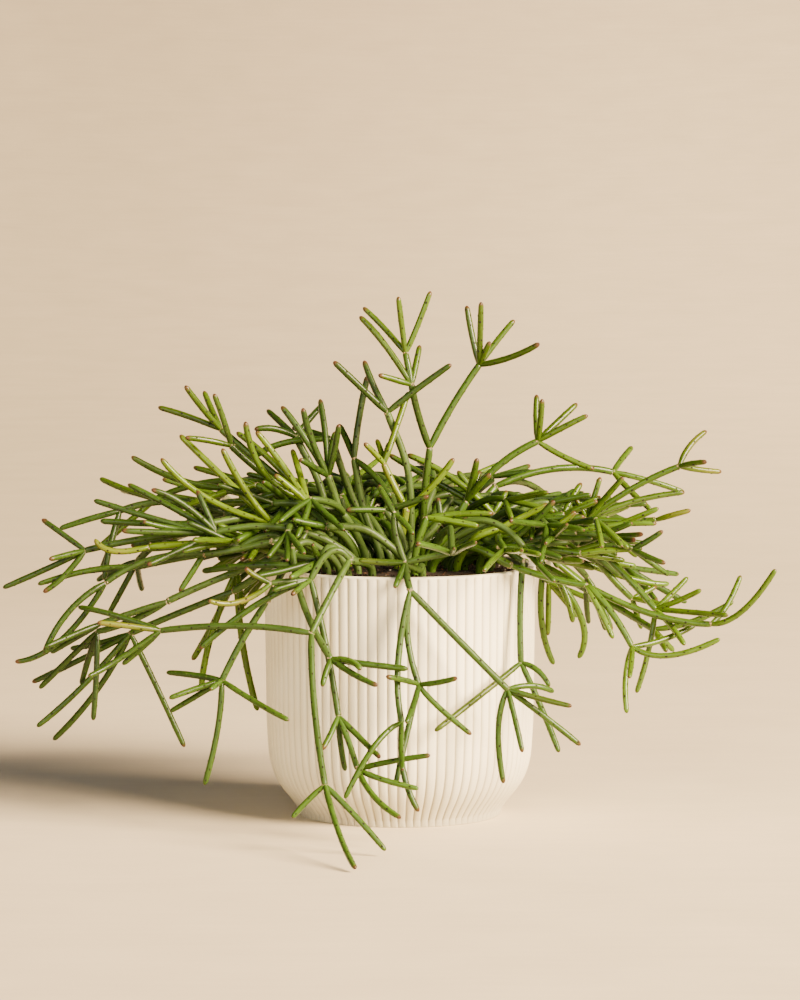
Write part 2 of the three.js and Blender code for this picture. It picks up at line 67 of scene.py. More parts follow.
# Sockets go by name or by number. A mix of colours takes its share at 0 and the colours at 6 and 7,
# and a map range its source at 0, where that starts and ends at 1 and 2, and what it gives at 3 and 4.
def addNode(tree, kind, links=None, **settings):
    node = tree.nodes.new("ShaderNode" + kind)
    for name, value in settings.items():
        setattr(node, name, value)
    fillInputs(node, links or {})
    return node.outputs


def fillInputs(node, links):
    for socket, value in links.items():
        if isinstance(value, bpy.types.NodeSocket):
            node.id_data.links.new(value, node.inputs[socket])
        else:
            node.inputs[socket].default_value = value


def newMaterial(name):
    material = bpy.data.materials.new(name)
    material.use_nodes = True
    return material, material.node_tree, material.node_tree.nodes["Principled BSDF"]


def addObject(name, data):
    thing = bpy.data.objects.new(name, data)
    bpy.context.scene.collection.objects.link(thing)
    return thing


def makeMesh(name, places, faces):
    mesh = bpy.data.meshes.new(name)
    mesh.from_pydata((np.asarray(places) * metresPerMm).tolist(), [], faces)
    mesh.polygons.foreach_set("use_smooth", [True] * len(mesh.polygons))
    mesh.update()
    return addObject(name, mesh)


def addValues(piece, name, values):
    values = np.asarray(values, dtype=np.float32)
    isVector = values.ndim == 2
    layer = piece.data.attributes.new(name, "FLOAT_VECTOR" if isVector else "FLOAT", "POINT")
    layer.data.foreach_set("vector" if isVector else "value", values.ravel())


def turnsOf(sides):
    return np.arange(sides) / sides * 2 * math.pi


def ringOf(turns, reach, height):
    return np.column_stack([reach * np.sin(turns), -reach * np.cos(turns), 0 * turns + height])


def ringFaces(sides, rings, first, top, bottom=None):
    # Joins rings of corners, which lie one after another from the first one on, and closes the ends
    faces = []
    last = first + (rings - 1) * sides
    for i in range(sides):
        j = (i + 1) % sides
        faces += [(row + i, row + j, row + sides + j, row + sides + i) for row in range(first, last, sides)]
        faces.append((top, last + i, last + j))
        if bottom is not None:
            faces.append((bottom, first + j, first + i))
    return faces


# A draw between 0 and 1 that is the same every time
draws = {"seed": 4127, "factor": 16807, "span": 2147483647}


def draw():
    draws["seed"] = draws["seed"] * draws["factor"] % draws["span"]
    return draws["seed"] / draws["span"]


def between(low, high):
    return low + (high - low) * draw()


# Camera: far off and a little above the pot, as the photo was taken
camera = {"place": (0.0, -2.8, 0.421), "aimHeight": 0.1757, "lens": 181.7, "film": 36.0}


def makeCamera():
    data = bpy.data.cameras.new("camera")
    data.sensor_fit = "VERTICAL"
    data.sensor_height = camera["film"]
    data.lens = camera["lens"]
    seer = addObject("camera", data)
    seer.location = camera["place"]
    _, y, z = camera["place"]
    seer.rotation_euler = (math.atan2(-y, z - camera["aimHeight"]), 0, 0)
    bpy.context.scene.camera = seer


makeCamera()

# Soft studio light: a broad warm key from the right, a weak fill from the front and faint cool
# surroundings
light = {
    "key": {"source": (1.45, -1.03, 0.89), "spread": 31, "strength": 25.5, "colour": "#ffe0bc"},
    "fill": {"source": (-0.5, -2.0, 0.48), "spread": 40, "strength": 2.4, "colour": "#f8f4f0"},
    "surroundings": {"colour": "#b8d0ff", "strength": 0.12},
}


def makeLamp(name, source, spread, strength, colour):
    data = bpy.data.lights.new(name, "SUN")
    data.angle = math.radians(spread)
    data.energy = strength
    data.color = linear(colour)[:3]
    lamp = addObject(name, data)
    lamp.location = source
    x, y, z = source
    lamp.rotation_euler = (math.atan2(math.hypot(x, y), z), 0, math.atan2(y, x) + math.pi / 2)


def makeLight():
    for name in ("key", "fill"):
        makeLamp(name, **light[name])
    world = bpy.data.worlds.new("surroundings")
    world.use_nodes = True
    background = world.node_tree.nodes["Background"]
    background.inputs[0].default_value = linear(light["surroundings"]["colour"])
    background.inputs[1].default_value = light["surroundings"]["strength"]
    bpy.context.scene.world = world


makeLight()

# Floor and backdrop: one round sheet of warm pale card, wide enough to stand behind every view,
# that bends up at its edge
backdrop = {
    "floorRadius": 3200, "bendRadius": 6000, "rimHeight": 1150,
    "sides": 128, "bendSteps": 16, "floorRings": (0.05, 0.2, 0.5, 1.0),
    # Metres behind the pot, and the card's colour there, drawn darker toward the back as painted light
    # falloff
    "tonesWithPaintedFalloff": ((-0.1, "#dccfb0"), (0.15, "#d0c4a6"), (1.2, "#bcb093"), (3.2, "#bcb093"), (5.8, "#988d76")),
    # Painted light: metres to the right of the pot, and how bright the card is drawn there, darker to the
    # left and brighter to the right
    "paintedSideLight": ((-0.6, 0.78), (0.6, 1.2)),
    # Per metre: clouds about 70 mm wide, streaks about 110 mm long and 8 mm wide
    "cloudScale": 14.0, "cloudShare": 0.16,
    "streakScale": (9, 120, 120), "streakShare": 0.10,
    "washTone": 0.87,
}


def makeCard():
    # Matt card, brushed with a thin warm wash: dull, faintly cloudy and streaked from side to side.
    # Painted light falloff draws it darker toward the back and the left and brighter to the right
    b = backdrop
    material, tree, shader = newMaterial("matt washed card")
    spot = addNode(tree, "TexCoord")["Object"]
    axes = addNode(tree, "SeparateXYZ", {0: spot})
    first, last = b["tonesWithPaintedFalloff"][0][0], b["tonesWithPaintedFalloff"][-1][0]
    # painted light falloff: the card is drawn darker toward the back
    back = addNode(tree, "MapRange", {0: axes[1], 1: first, 2: last})[0]
    colour = addNode(tree, "ValToRGB", {0: back})[0]
    stops = colour.node.color_ramp.elements
    for i, (place, tone) in enumerate(b["tonesWithPaintedFalloff"]):
        share = (place - first) / (last - first)
        stop = stops[i] if i < 2 else stops.new(share)
        stop.position = share
        stop.color = linear(tone)
    # painted light: the card is drawn darker to the left and brighter to the right
    (left, leftLight), (right, rightLight) = b["paintedSideLight"]
    side = addNode(tree, "MapRange", {0: axes[0], 1: left, 2: right, 3: leftLight, 4: rightLight},
                   interpolation_type="SMOOTHSTEP")[0]
    stretched = addNode(tree, "VectorMath", {0: spot, 1: b["streakScale"]}, operation="MULTIPLY")[0]
    wash = b["washTone"]
    for place, scale, share in ((spot, b["cloudScale"], b["cloudShare"]),
                                (stretched, 1.0, b["streakShare"])):
        pattern = addNode(tree, "TexNoise", {"Vector": place, "Scale": scale, "Detail": 3.0})[0]
        wash = addNode(tree, "Math", {0: pattern, 1: share, 2: wash}, operation="MULTIPLY_ADD")[0]
    wash = addNode(tree, "Math", {0: wash, 1: side}, operation="MULTIPLY")[0]
    tint = addNode(tree, "VectorMath", {0: colour, "Scale": wash}, operation="SCALE")[0]
    fillInputs(shader, {"Base Color": tint, "Roughness": 0.85, "Specular IOR Level": 0.2})
    return material


def makeBackdrop():
    b = backdrop
    line = [(b["floorRadius"] * share, 0.0) for share in b["floorRings"]]
    lastTurn = math.acos(1 - b["rimHeight"] / b["bendRadius"])
    for i in range(1, b["bendSteps"] + 1):
        turn = i / b["bendSteps"] * lastTurn
        reach = b["floorRadius"] + b["bendRadius"] * math.sin(turn)
        line.append((reach, b["bendRadius"] * (1 - math.cos(turn))))
    turns = turnsOf(b["sides"])
    rings = [ringOf(turns, reach, height) for reach, height in reversed(line)]
    places = np.vstack(rings + [[[0, 0, 0]]])
    sheet = makeMesh("backdrop", places, ringFaces(b["sides"], len(rings), 0, len(places) - 1))
    sheet.data.materials.append(makeCard())
    sheet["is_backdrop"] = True


makeBackdrop()
print("camera, light and backdrop are ready")

# Pot: reeded from just under its rim down to its foot
pot = {
    "rimHeight": 140.0, "rimRadius": 75.6, "rimRound": 0.9,
    "lipSquareness": 0.6, "lipStart": 0.12, "lipSteps": 9,
    "reeds": 85, "reedDepth": 1.1, "reedFullness": 3.4,
    "reedTop": 137.8, "reedFade": 1.5, "reedBottom": -0.6, "reedRise": 3,
    "wallSteps": (0.25, 0.5, 0.75, 0.95, 1), "fadeSteps": (0.2, 0.4, 0.6, 0.85),
    "firstGroove": -1.1,
    "reedSpots": [0, 0.035, 0.08, 0.14, 0.24, 0.36, 0.5, 0.64, 0.76, 0.86, 0.92, 0.965],
    # Radius and height of the outside, the inside and the foot
    "belly": [[57.2, 3.8], [60.6, 8.5], [66.2, 15.5], [70.2, 22.5], [73.1, 33], [74.5, 52]],
    "bellySteps": 6, "footRadius": 56.6,
    "inside": [(71.2, 139.1), (69.8, 44), (66, 24), (55, 11), (44, 9)],
    "footRing": [(46.5, 1.2), (48, 0.3), (49.5, 0.0), (55.8, 0.0), (56.4, 0.4)],
    "clay": "#edead0", "clayShade": "#e8e2c6",
    # Painted shade: the grooves and the foot are drawn darker, where shade falls on them
    "paintedGrooveShade": "#a89f84", "grooveShadeShare": 0.75,
    "paintedFootShade": 0.6, "footShadeFade": (2.0, 46.0),
    # Per metre: clouds about 40 mm wide, grain 0.5 mm wide; its depth is in metres
    "cloudScale": 24.0, "grainScale": 2000.0, "grainDepth": 0.00006, "grainRelief": 0.4,
    "dullness": (0.3, 0.7, 0.5, 0.64),
}


def smoothLine(corners, steps):
    # Catmull-Rom through the corners, which stay on the line
    spots = np.array(corners, dtype=float)
    spots = np.vstack([2 * spots[0] - spots[1], spots, 2 * spots[-1] - spots[-2]])
    t = np.linspace(0, 1, steps, endpoint=False)[:, None]
    line = []
    for a, b, c, d in zip(spots, spots[1:], spots[2:], spots[3:]):
        line.append(b + 0.5 * t * (c - a + t * (2 * a - 5 * b + 4 * c - d + t * (3 * b - a - 3 * c + d))))
    return np.vstack(line + [spots[-2:-1]])


def makeCeramic():
    # Fine stoneware, slip cast, fettled and left unglazed: chalky warm white, dull, with a very fine
    # grain. Painted shade draws it greyer down in the grooves and darker toward the foot.
    # The real grain is about 0.1 mm; it is drawn 0.5 mm wide, so that it shows at all.
    material, tree, shader = newMaterial("unglazed white stoneware")
    spot = addNode(tree, "TexCoord")["Object"]
    cloud = addNode(tree, "TexNoise", {"Vector": spot, "Scale": pot["cloudScale"], "Detail": 3.0})[0]
    grain = addNode(tree, "TexNoise", {"Vector": spot, "Scale": pot["grainScale"], "Detail": 2.0})[0]
    # painted shade down in the grooves, by how deep they are
    groove = addNode(tree, "Attribute", attribute_name="groove")["Fac"]
    groove = addNode(tree, "Math", {0: groove, 1: pot["grooveShadeShare"]}, operation="MULTIPLY")[0]
    tint = linear(pot["clay"])
    for share, colour in ((cloud, "clayShade"), (groove, "paintedGrooveShade")):
        tint = addNode(tree, "Mix", {0: share, 6: tint, 7: linear(pot[colour])}, data_type="RGBA")[2]
    # painted shade: the clay is drawn darker toward the foot
    height = addNode(tree, "SeparateXYZ", {0: spot})[2]
    low, high = (place * metresPerMm for place in pot["footShadeFade"])
    footShade = addNode(tree, "MapRange", {0: height, 1: low, 2: high, 3: pot["paintedFootShade"]},
                   interpolation_type="SMOOTHSTEP")[0]
    tint = addNode(tree, "VectorMath", {0: tint, "Scale": footShade}, operation="SCALE")[0]
    dull = addNode(tree, "MapRange", {0: grain, **dict(enumerate(pot["dullness"], 1))})[0]
    relief = addNode(tree, "Bump", {"Height": grain, "Distance": pot["grainDepth"],
                                    "Strength": pot["grainRelief"]})[0]
    fillInputs(shader, {"Base Color": tint, "Roughness": dull, "Specular IOR Level": 0.4, "Normal": relief})
    return material


def makePot():
    p = pot
    radius, edge = p["rimRadius"], p["rimHeight"] - p["rimRound"]
    belly = [tuple(spot) for spot in smoothLine(p["belly"], p["bellySteps"])]
    lowRadius, lowHeight = belly[-1]
    wall = [(lowRadius + (radius - lowRadius) * t, lowHeight + (p["reedTop"] - lowHeight) * t)
            for t in p["wallSteps"]]
    fading = [(radius, p["reedTop"] + p["reedFade"] * t) for t in p["fadeSteps"]]
    middle, half = (radius + p["inside"][0][0]) / 2, (radius - p["inside"][0][0]) / 2
    lip = []
    for t in np.linspace(p["lipStart"], math.pi - p["lipStart"], p["lipSteps"]):
        out = math.copysign(abs(math.cos(t)) ** p["lipSquareness"], math.cos(t))
        lip.append((middle + half * out, edge + p["rimRound"] * math.sin(t)))
    outside = p["footRing"] + belly + wall + fading
    rows = outside + lip + p["inside"]
    reeded = range(len(p["footRing"]) - 1, len(outside))
    spots = np.array(p["reedSpots"])
    turns = (np.arange(p["reeds"])[:, None] + spots).ravel() / p["reeds"] * 2 * math.pi
    turns += math.radians(p["firstGroove"])
    groove = np.tile(np.abs(2 * spots - 1) ** p["reedFullness"], p["reeds"])
    columns = len(turns)
    places = []
    shades = []
    for row, (radius, height) in enumerate(rows):
        depth = p["reedDepth"] if row in reeded else 0
        fade = min(1, max(0, 1 - (height - p["reedTop"]) / p["reedFade"]))
        depth *= min(fade, (height - p["reedBottom"]) / p["reedRise"])
        reach = radius - depth * groove
        # how deep the groove is here, for the painted groove shade
        shades.append(groove ** 2 * depth / p["reedDepth"])
        places.append(ringOf(turns, reach, height))
    places = np.vstack(places + [[[0, 0, rows[0][1]]], [[0, 0, rows[-1][1]]]])
    faces = ringFaces(columns, len(rows), 0, len(places) - 1, len(places) - 2)
    vessel = makeMesh("reeded_pot", places, faces)
    addValues(vessel, "groove", np.concatenate(shades + [[0.0, 0.0]]))
    vessel.data.materials.append(makeCeramic())
    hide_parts("pot")
    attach(vessel, "root")


makePot()
print("the pot is turned and reeded")

# Soil: a low mound of potting mix, filled to 3 mm under the rim
soil = {
    "middle": 140.0, "edge": 137.0, "radius": 70.6, "sink": 0.4,
    "bottom": 11.4, "lowRings": ((54.6, 11.4), (69.4, 44.4)),
    "rings": 34, "sides": 150, "ringCurve": 1.1,
    "lumps": 1.3, "lumpWaves": 26, "lumpPitch": 0.352, "lumpSum": 9, "edgeFade": 4,
    "bits": 1500, "bitSize": (0.7, 2.6), "perliteShare": 0.04, "barkShare": 0.3,
    # A crumb: where it lies, its sides, the height and reach of its rings, and its proportions
    "bitReach": 0.97, "bitRise": (-0.6, 0.5), "bitShrink": (0.6, 1), "bitTilt": 0.5,
    "bitSides": 6, "bitRings": ((-0.6, 0.8), (0.1, 1.0), (0.7, 0.65)), "bitUneven": (0.75, 1.1),
    "bitWidth": (0.5, 0.9), "bitThickness": 0.7, "barkThickness": (0.25, 0.5),
    "kinds": {"peat": 0.0, "bark": 0.6, "perlite": 1.0},
    "peat": "#1a130d", "peatDry": "#33261a", "bark": "#4a311d", "perlite": "#9c9484",
    # What shows each colour and from where to where; bark and perlite start between the kinds
    "shares": {"peatDry": ("crumb", 0.4, 0.7), "bark": ("kind", 0.2, 0.5), "perlite": ("kind", 0.7, 0.95)},
    # Per metre: crumbs of peat about 1.4 mm wide; their depth is in metres
    "crumbScale": 700.0, "crumbDetail": 4.0, "crumbDepth": 0.0006, "crumbRelief": 0.8,
}


def soilHeight(radius):
    share = np.minimum(radius / soil["radius"], 1)
    return soil["middle"] - (soil["middle"] - soil["edge"]) * share ** 2


def makeSoilMaterial():
    # Moist peat mix with bark and a little perlite, as poured: dark, rough and uneven, only the bits
    # catch light
    material, tree, shader = newMaterial("peat and bark potting mix")
    spot = addNode(tree, "TexCoord")["Object"]
    kind = addNode(tree, "Attribute", attribute_name="kind")["Fac"]
    links = {"Vector": spot, "Scale": soil["crumbScale"], "Detail": soil["crumbDetail"]}
    crumb = addNode(tree, "TexNoise", links)[0]
    sources = {"crumb": crumb, "kind": kind}
    tint = linear(soil["peat"])
    for colour, (source, low, high) in soil["shares"].items():
        share = addNode(tree, "MapRange", {0: sources[source], 1: low, 2: high})[0]
        tint = addNode(tree, "Mix", {0: share, 6: tint, 7: linear(soil[colour])}, data_type="RGBA")[2]
    relief = addNode(tree, "Bump", {"Height": crumb, "Distance": soil["crumbDepth"],
                                    "Strength": soil["crumbRelief"]})[0]
    fillInputs(shader, {"Base Color": tint, "Roughness": 0.9, "Specular IOR Level": 0.3, "Normal": relief})
    return material


def makeCrumb(random):
    # A lumpy double cone, squashed and turned at random
    s = soil
    out, turn = s["radius"] * s["bitReach"] * math.sqrt(random.random()), random.uniform(0, roundTurn)
    height = soilHeight(out) + random.uniform(*s["bitRise"])
    centre = np.array([out * math.cos(turn), out * math.sin(turn), height])
    size = random.uniform(*s["bitSize"]) * random.uniform(*s["bitShrink"])
    pick = random.random()
    isPerlite = pick < s["perliteShare"]
    isBark = not isPerlite and pick < s["perliteShare"] + s["barkShare"]
    width = random.uniform(*s["bitWidth"])
    stretch = np.array([1, width, random.uniform(*s["barkThickness"]) if isBark else s["bitThickness"]])
    corners = [[0, 0, -1]]
    for height, reach in s["bitRings"]:
        turns = turnsOf(s["bitSides"]) + height
        corners += [[reach * math.cos(a), reach * math.sin(a), height] for a in turns]
    corners = np.array(corners + [[0, 0, 1]])
    corners = corners * random.uniform(*s["bitUneven"], (len(corners), 1)) * stretch * size / 2
    spin, tilt = random.uniform(0, roundTurn), random.uniform(-s["bitTilt"], s["bitTilt"])
    cosS, sinS, cosT, sinT = math.cos(spin), math.sin(spin), math.cos(tilt), math.sin(tilt)
    corners = corners @ np.array([[1, 0, 0], [0, cosT, sinT], [0, -sinT, cosT]])
    corners = corners @ np.array([[cosS, sinS, 0], [-sinS, cosS, 0], [0, 0, 1]]) + centre
    return corners, s["kinds"]["perlite" if isPerlite else "bark" if isBark else "peat"]


def makeSoil():
    s = soil
    random = np.random.default_rng(71)
    turns = turnsOf(s["sides"])
    waves = random.uniform(-s["lumpPitch"], s["lumpPitch"], (s["lumpWaves"], 2))
    starts = random.uniform(0, roundTurn, s["lumpWaves"])
    places = [ringOf(turns, radius, height) for radius, height in s["lowRings"]]
    for i in range(s["rings"]):
        radius = s["radius"] * (1 - (i / s["rings"]) ** s["ringCurve"])
        ring = ringOf(turns, radius, soilHeight(radius) - s["sink"])
        bumps = sum(np.sin(ring[:, 0] * u + ring[:, 1] * v + w) for (u, v), w in zip(waves, starts))
        ring[:, 2] += s["lumps"] * bumps / s["lumpSum"] * min(1, (s["radius"] - radius) / s["edgeFade"])
        places.append(ring)
    rings = len(places)
    places = np.vstack(places + [[[0, 0, s["bottom"]]], [[0, 0, s["middle"] - s["sink"]]]])
    count = len(places)
    faces = ringFaces(s["sides"], rings, 0, count - 1, count - 2)
    allPlaces = [places]
    kinds = [np.zeros(count)]
    for _ in range(s["bits"]):
        corners, kind = makeCrumb(random)
        allPlaces.append(corners)
        kinds.append(np.full(len(corners), kind))
        faces += ringFaces(s["bitSides"], len(s["bitRings"]), count + 1, count + len(corners) - 1, count)
        count += len(corners)
    mound = makeMesh("potting_soil", np.vstack(allPlaces), faces)
    addValues(mound, "kind", np.concatenate(kinds))
    mound.data.materials.append(makeSoilMaterial())
    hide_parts("soil")
    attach(mound, "root")


makeSoil()
print("the soil is filled in")

# Stems: how the plant branches. Radii go by how many forks lie between a segment and the soil.
plant = {
    "radii": [2.15, 1.95, 1.85, 1.75], "radiusSpread": (0.96, 1.04), "shootShare": 0.94,
    "holeDepth": 12, "collarHeight": 5, "rootShift": 8, "rootTurns": (-15, 15),
    "gap": 0.6, "floorGap": 0.5, "passes": 260, "reach": 26, "listEvery": 20,
    "pushSpots": (0.2, 0.4, 0.6, 0.8, 1.0),
    "eye": (0.0, -2800.0, 421.0),
    # Which way the stems of the back head, in degrees from the right
    "backTurns": (12, 38, 64, 90, 116, 142, 168),
}
# Tips that came out pale, by where they are seen: how far they have turned from green to yellow and pink
paleTips = {
    (-169, 107): 0.6, (-86, 138): 0.4, (-107, 119.5): 0.5, (162, 170): 0.65, (170.5, 214.3): 0.25,
    (179, 191.5): 0.5, (-170, 154): 0.4, (-23, 142): 0.12, (3.5, 171): 0.25, (-9, 196): 0.3,
    (-20, 207.5): 0.25, (-6, 208): 0.25, (19.5, 46): 0.14, (96, 60): 0.12,
}
# Tips whose ends have plainly gone brown
brownTips = ((32, 76), (-8.5, 76.5), (40, 44), (0.5, -3), (96, 60))

points = []
runs = []
sprays = []


def addPoint(place, forward, free, seen=None):
    points.append({"place": np.array(place, dtype=float), "forward": forward, "free": free, "seen": seen})
    return len(points) - 1


def seenAt(across, up, forward):
    # A joint is written as it looks from the eye: its place on the upright plane through the pot's
    # axis, and how far before that plane it lies
    share = forward / -plant["eye"][1]
    return np.array([across, 0.0, up]) * (1 - share) + np.array(plant["eye"]) * share


def joint(at, *grown):
    # Where a segment ends, perhaps with where its middle is seen, and what grows from its end
    return {"at": at, "middle": None, "grown": list(grown)}


def grow(spray, start, branch, forks):
    branch = joint(branch) if isinstance(branch, list) else branch
    at, isTip = branch["at"], not branch["grown"]
    radius = plant["radii"][min(forks, len(plant["radii"]) - 1)] * (plant["shootShare"] if isTip else 1)
    radius *= between(*plant["radiusSpread"])
    isSeen = isinstance(at, list)
    forward = at[2] if isSeen else 0
    seen = tuple(at[:2]) if isSeen else None
    end = addPoint(seenAt(*at[:3]) if isSeen else at, forward, True, seen)
    chain = [start, end]
    if isSeen and len(at) > 3:
        halfway = (points[start]["forward"] + forward) / 2
        chain.insert(1, addPoint(seenAt(at[3], at[4], halfway), halfway, True))
    elif branch["middle"] is not None:
        chain.insert(1, addPoint(branch["middle"], forward, True))
    runs.extend((one, two, radius) for one, two in zip(chain, chain[1:]))
    segment = {"chain": chain, "radius": radius, "isTip": isTip, "forks": forks, "seen": seen}
    spray["segments"].append(segment)
    for following in branch["grown"]:
        grow(spray, end, following, forks + 1)


def addSpray(name, colour, x, y, *first):
    ground = float(soilHeight(math.hypot(x, y)))
    bottom = addPoint((x, y, ground - plant["holeDepth"]), -y, False)
    collar = addPoint((x, y, ground + plant["collarHeight"]), -y, False)
    spray = {"name": name, "colour": colour, "root": (x, y), "segments": [],
             "bottom": bottom, "collar": collar}
    sprays.append(spray)
    for branch in first:
        grow(spray, collar, branch, 0)


# Stems that the front shows, from the top down: across and forward of the root, then their joints
addSpray("stem_top_middle", "mid", 12, 4,
    joint([16.5, 204.5, 0, 13.6, 178],
        joint([5.5, 239.5, 6, 10, 223], [-12, 245.5, 16], [-22.5, 278, -4, -9, 263], [11, 262, -6],
            joint([3, 257.5, 2], [-20.5, 283, -10], [-1, 289, 8], [17, 292, -4, 9, 271])),
        joint([44, 251, -12, 29, 228], [37, 284, -20], [45, 286, 0], [63.5, 276, -22],
            [77.5, 263, 6, 62, 255.5], [50, 264, -4])))
addSpray("stem_top_dark", "old", 6, -10,
    joint([-5, 223.5, 8, 5, 190], [-37, 253, 14], [-20, 253.5, -2], [29, 251, 12]))
addSpray("stem_middle_bright", "bright", -1, -20,
    joint([3.5, 171, 22],
        joint([-9, 196, 20, -3.5, 184], [-20, 207.5, 28], [-6, 208, 14], [4.5, 237, 4, -3, 217],
            [-13, 209.5, 6]),
        [30, 199, 28, 17, 182.5]))
addSpray("stem_top_right", "mid", 15, -16,
    joint([37, 175, 12, 25, 155],
        joint([76.5, 208.5, 0, 55, 195], [76, 234.5, -12], [79, 232, 8], [98.5, 229.5, -18],
            [104.5, 223, 4], [108, 193, 2, 92, 199.5]),
        [43, 199, 20], [50.5, 190.5, 22], [44.5, 192, 2]))
addSpray("stem_middle_back", "mid", 42, 12,
    joint([52, 168, -12], [32, 192, -16], [-6, 201, -24, 25, 183], [4, 201, -14, 29, 188],
        [59.5, 181, -20]))
addSpray("stem_right_hub", "mid", 34, 2,
    joint([70, 163, -2],
        joint([104, 165, -2, 88, 162],
            joint([155.5, 194.5, 2, 130, 182.5], [170.5, 214.3, -10, 161, 205.5], [170.8, 197, 14],
                [179, 191.5, -4]),
            [158.5, 180, -18, 130, 175], [111.5, 188.5, -6], [124.5, 188.5, 10],
            joint([142.5, 164.5, 8, 124, 164], [162, 170, 14])),
        [89, 176, -22, 78, 169]))
addSpray("stem_right_rim", "old", 27, -12,
    joint([44, 155, 32],
        joint([56, 149.5, 40],
            joint([68.5, 141.5, 46],
                joint([67.5, 84.5, 54, 67, 114], [19.5, 46, 88, 46, 67], [83.5, 71, 62, 77, 80],
                    [89, 34, 72, 79, 59])),
            joint([98, 157, 46, 76, 154],
                joint([129.5, 148.2, 54, 115, 155], [146.5, 158.5, 58], [148, 140.2, 66],
                    [150, 133.5, 46])),
            [86, 175.5, 52, 72, 161])))
addSpray("stem_right_front", "mid", 19, -36,
    joint([62, 139, 54, 38, 149.5],
        joint([104, 128, 60, 84, 132],
            joint([173.5, 107.5, 66, 140, 112.5], [190, 133.5, 50, 182, 116],
                [209.5, 137, 78, 191, 113.5]),
            joint([129.5, 93.5, 74, 117, 114], [178.7, 98, 84, 150, 88.5], [165, 106, 56, 147, 98],
                [126.8, 56, 88, 126, 76], [128, 76, 104]),
            [119, 98, 72, 111.5, 114])))
addSpray("stem_right_long", "mid", 38, -18,
    joint([72, 153, 28],
        joint([99, 158, 30],
            joint([142.5, 114.3, 50, 121, 138], [160.5, 132.5, 40], [168, 125.5, 62], [159, 94, 74],
                [132, 67.5, 62, 138.5, 90], [183, 111, 76, 163, 111]),
            joint([128.5, 120, 22, 113, 138], [143, 127.5, 14], [147, 117, 30], [134, 103, 18])),
        [131.5, 139, 18, 114, 142], [150, 129, 8, 124, 133]))
addSpray("stem_right_low", "mid", 48, 22,
    joint([80, 138, -22, 66, 147],
        joint([142, 104, 34, 115, 120], [149, 90.5, 46], [153, 91, 26], [186, 119, 34, 163, 107.5]),
        [96.5, 107, -16, 91, 126], [99.5, 87, -30, 101, 110], [86, 83.5, -26, 79, 108]))
addSpray("stem_left_arch", "mid", -22, 2,
    joint([-52, 176, 2, -34, 160],
        joint([-99.5, 215, -12, -74, 193.5], [-134.5, 227.5, -20], [-119.5, 239.5, -2],
            [-109, 236.5, -24]),
        joint([-94, 206, 8, -74, 189], [-119.5, 210.5, 18], [-103.5, 235, 14]),
        [-91, 213.5, -8, -72, 198], [-86, 219.5, 20, -75, 190]))
addSpray("stem_left_bright", "bright", -30, -10,
    joint([-72, 163, 20, -50, 156], [-99, 204.5, 28, -86, 181], [-133, 199, 24, -108, 177],
        [-122.5, 212, 4, -99, 189]))
addSpray("stem_left_shade", "mid", -26, 16,
    joint([-80, 184, -20, -50, 168], [-149.5, 200, -14, -114, 184.5], [-115, 194, -30],
        [-122, 171.5, -6, -101, 179]))
addSpray("stem_left_old", "old", -24, -38,
    joint([-51, 157.5, 46, -37, 151],
        joint([-102.5, 157, 42, -78, 161], [-151.5, 184.5, 28], [-138.5, 181.5, 50, -121, 173.5],
            [-113, 181, 36, -108.5, 171], [-170.5, 175.5, 40, -125, 162], [-155, 158.5, 56],
            [-141, 138.5, 62], [-123, 124, 50],
            joint([-175.5, 147.5, 44, -137, 155], [-199.5, 165, 34], [-195.5, 142.5, 60],
                [-221.5, 126.5, 46], [-199, 124, 54, -187, 133.5])),
        joint([-74, 119, 66, -63, 139],
            joint([-99.5, 74.5, 72, -88, 97], [-130.5, 79, 60], [-129, 64.5, 84], [-128.5, 57, 66],
                [-106, 69.5, 90], [-109.5, 15.5, 80, -102, 47], [-62, 52, 92, -80, 62]))))
addSpray("stem_left_long", "old", -41, -34,
    joint([-72, 152.5, 52, -56, 153],
        joint([-109, 146, 50, -91, 148],
            joint([-148, 138, 40, -129, 142], [-183, 134.5, 34], [-202, 128.5, 46, -172, 136.5]),
            joint([-164.5, 129, 58, -139, 143], [-198.5, 89.5, 72, -184, 112],
                [-215, 85, 62, -190, 97]))))
addSpray("stem_left_low", "old", -42, -24,
    joint([-66, 144, 46, -56, 148],
        joint([-130, 119, 54, -98, 133],
            joint([-167, 106.5, 60, -148, 113], [-195, 90, 50], [-199, 93, 76]),
            joint([-169, 102, 44, -150, 108], [-201.5, 70, 36], [-171.5, 52, 50], [-178, 72, 28])),
        joint([-93, 124.5, 36, -80, 133],
            joint([-150.5, 101, 30, -122, 113], [-205.5, 73.5, 20, -178, 86.5],
                [-203, 48.5, 36, -178, 71], [-194, 41, 18, -170, 68], [-120.5, 37, 34, -136, 71],
                [-184, 92.5, 14]))))
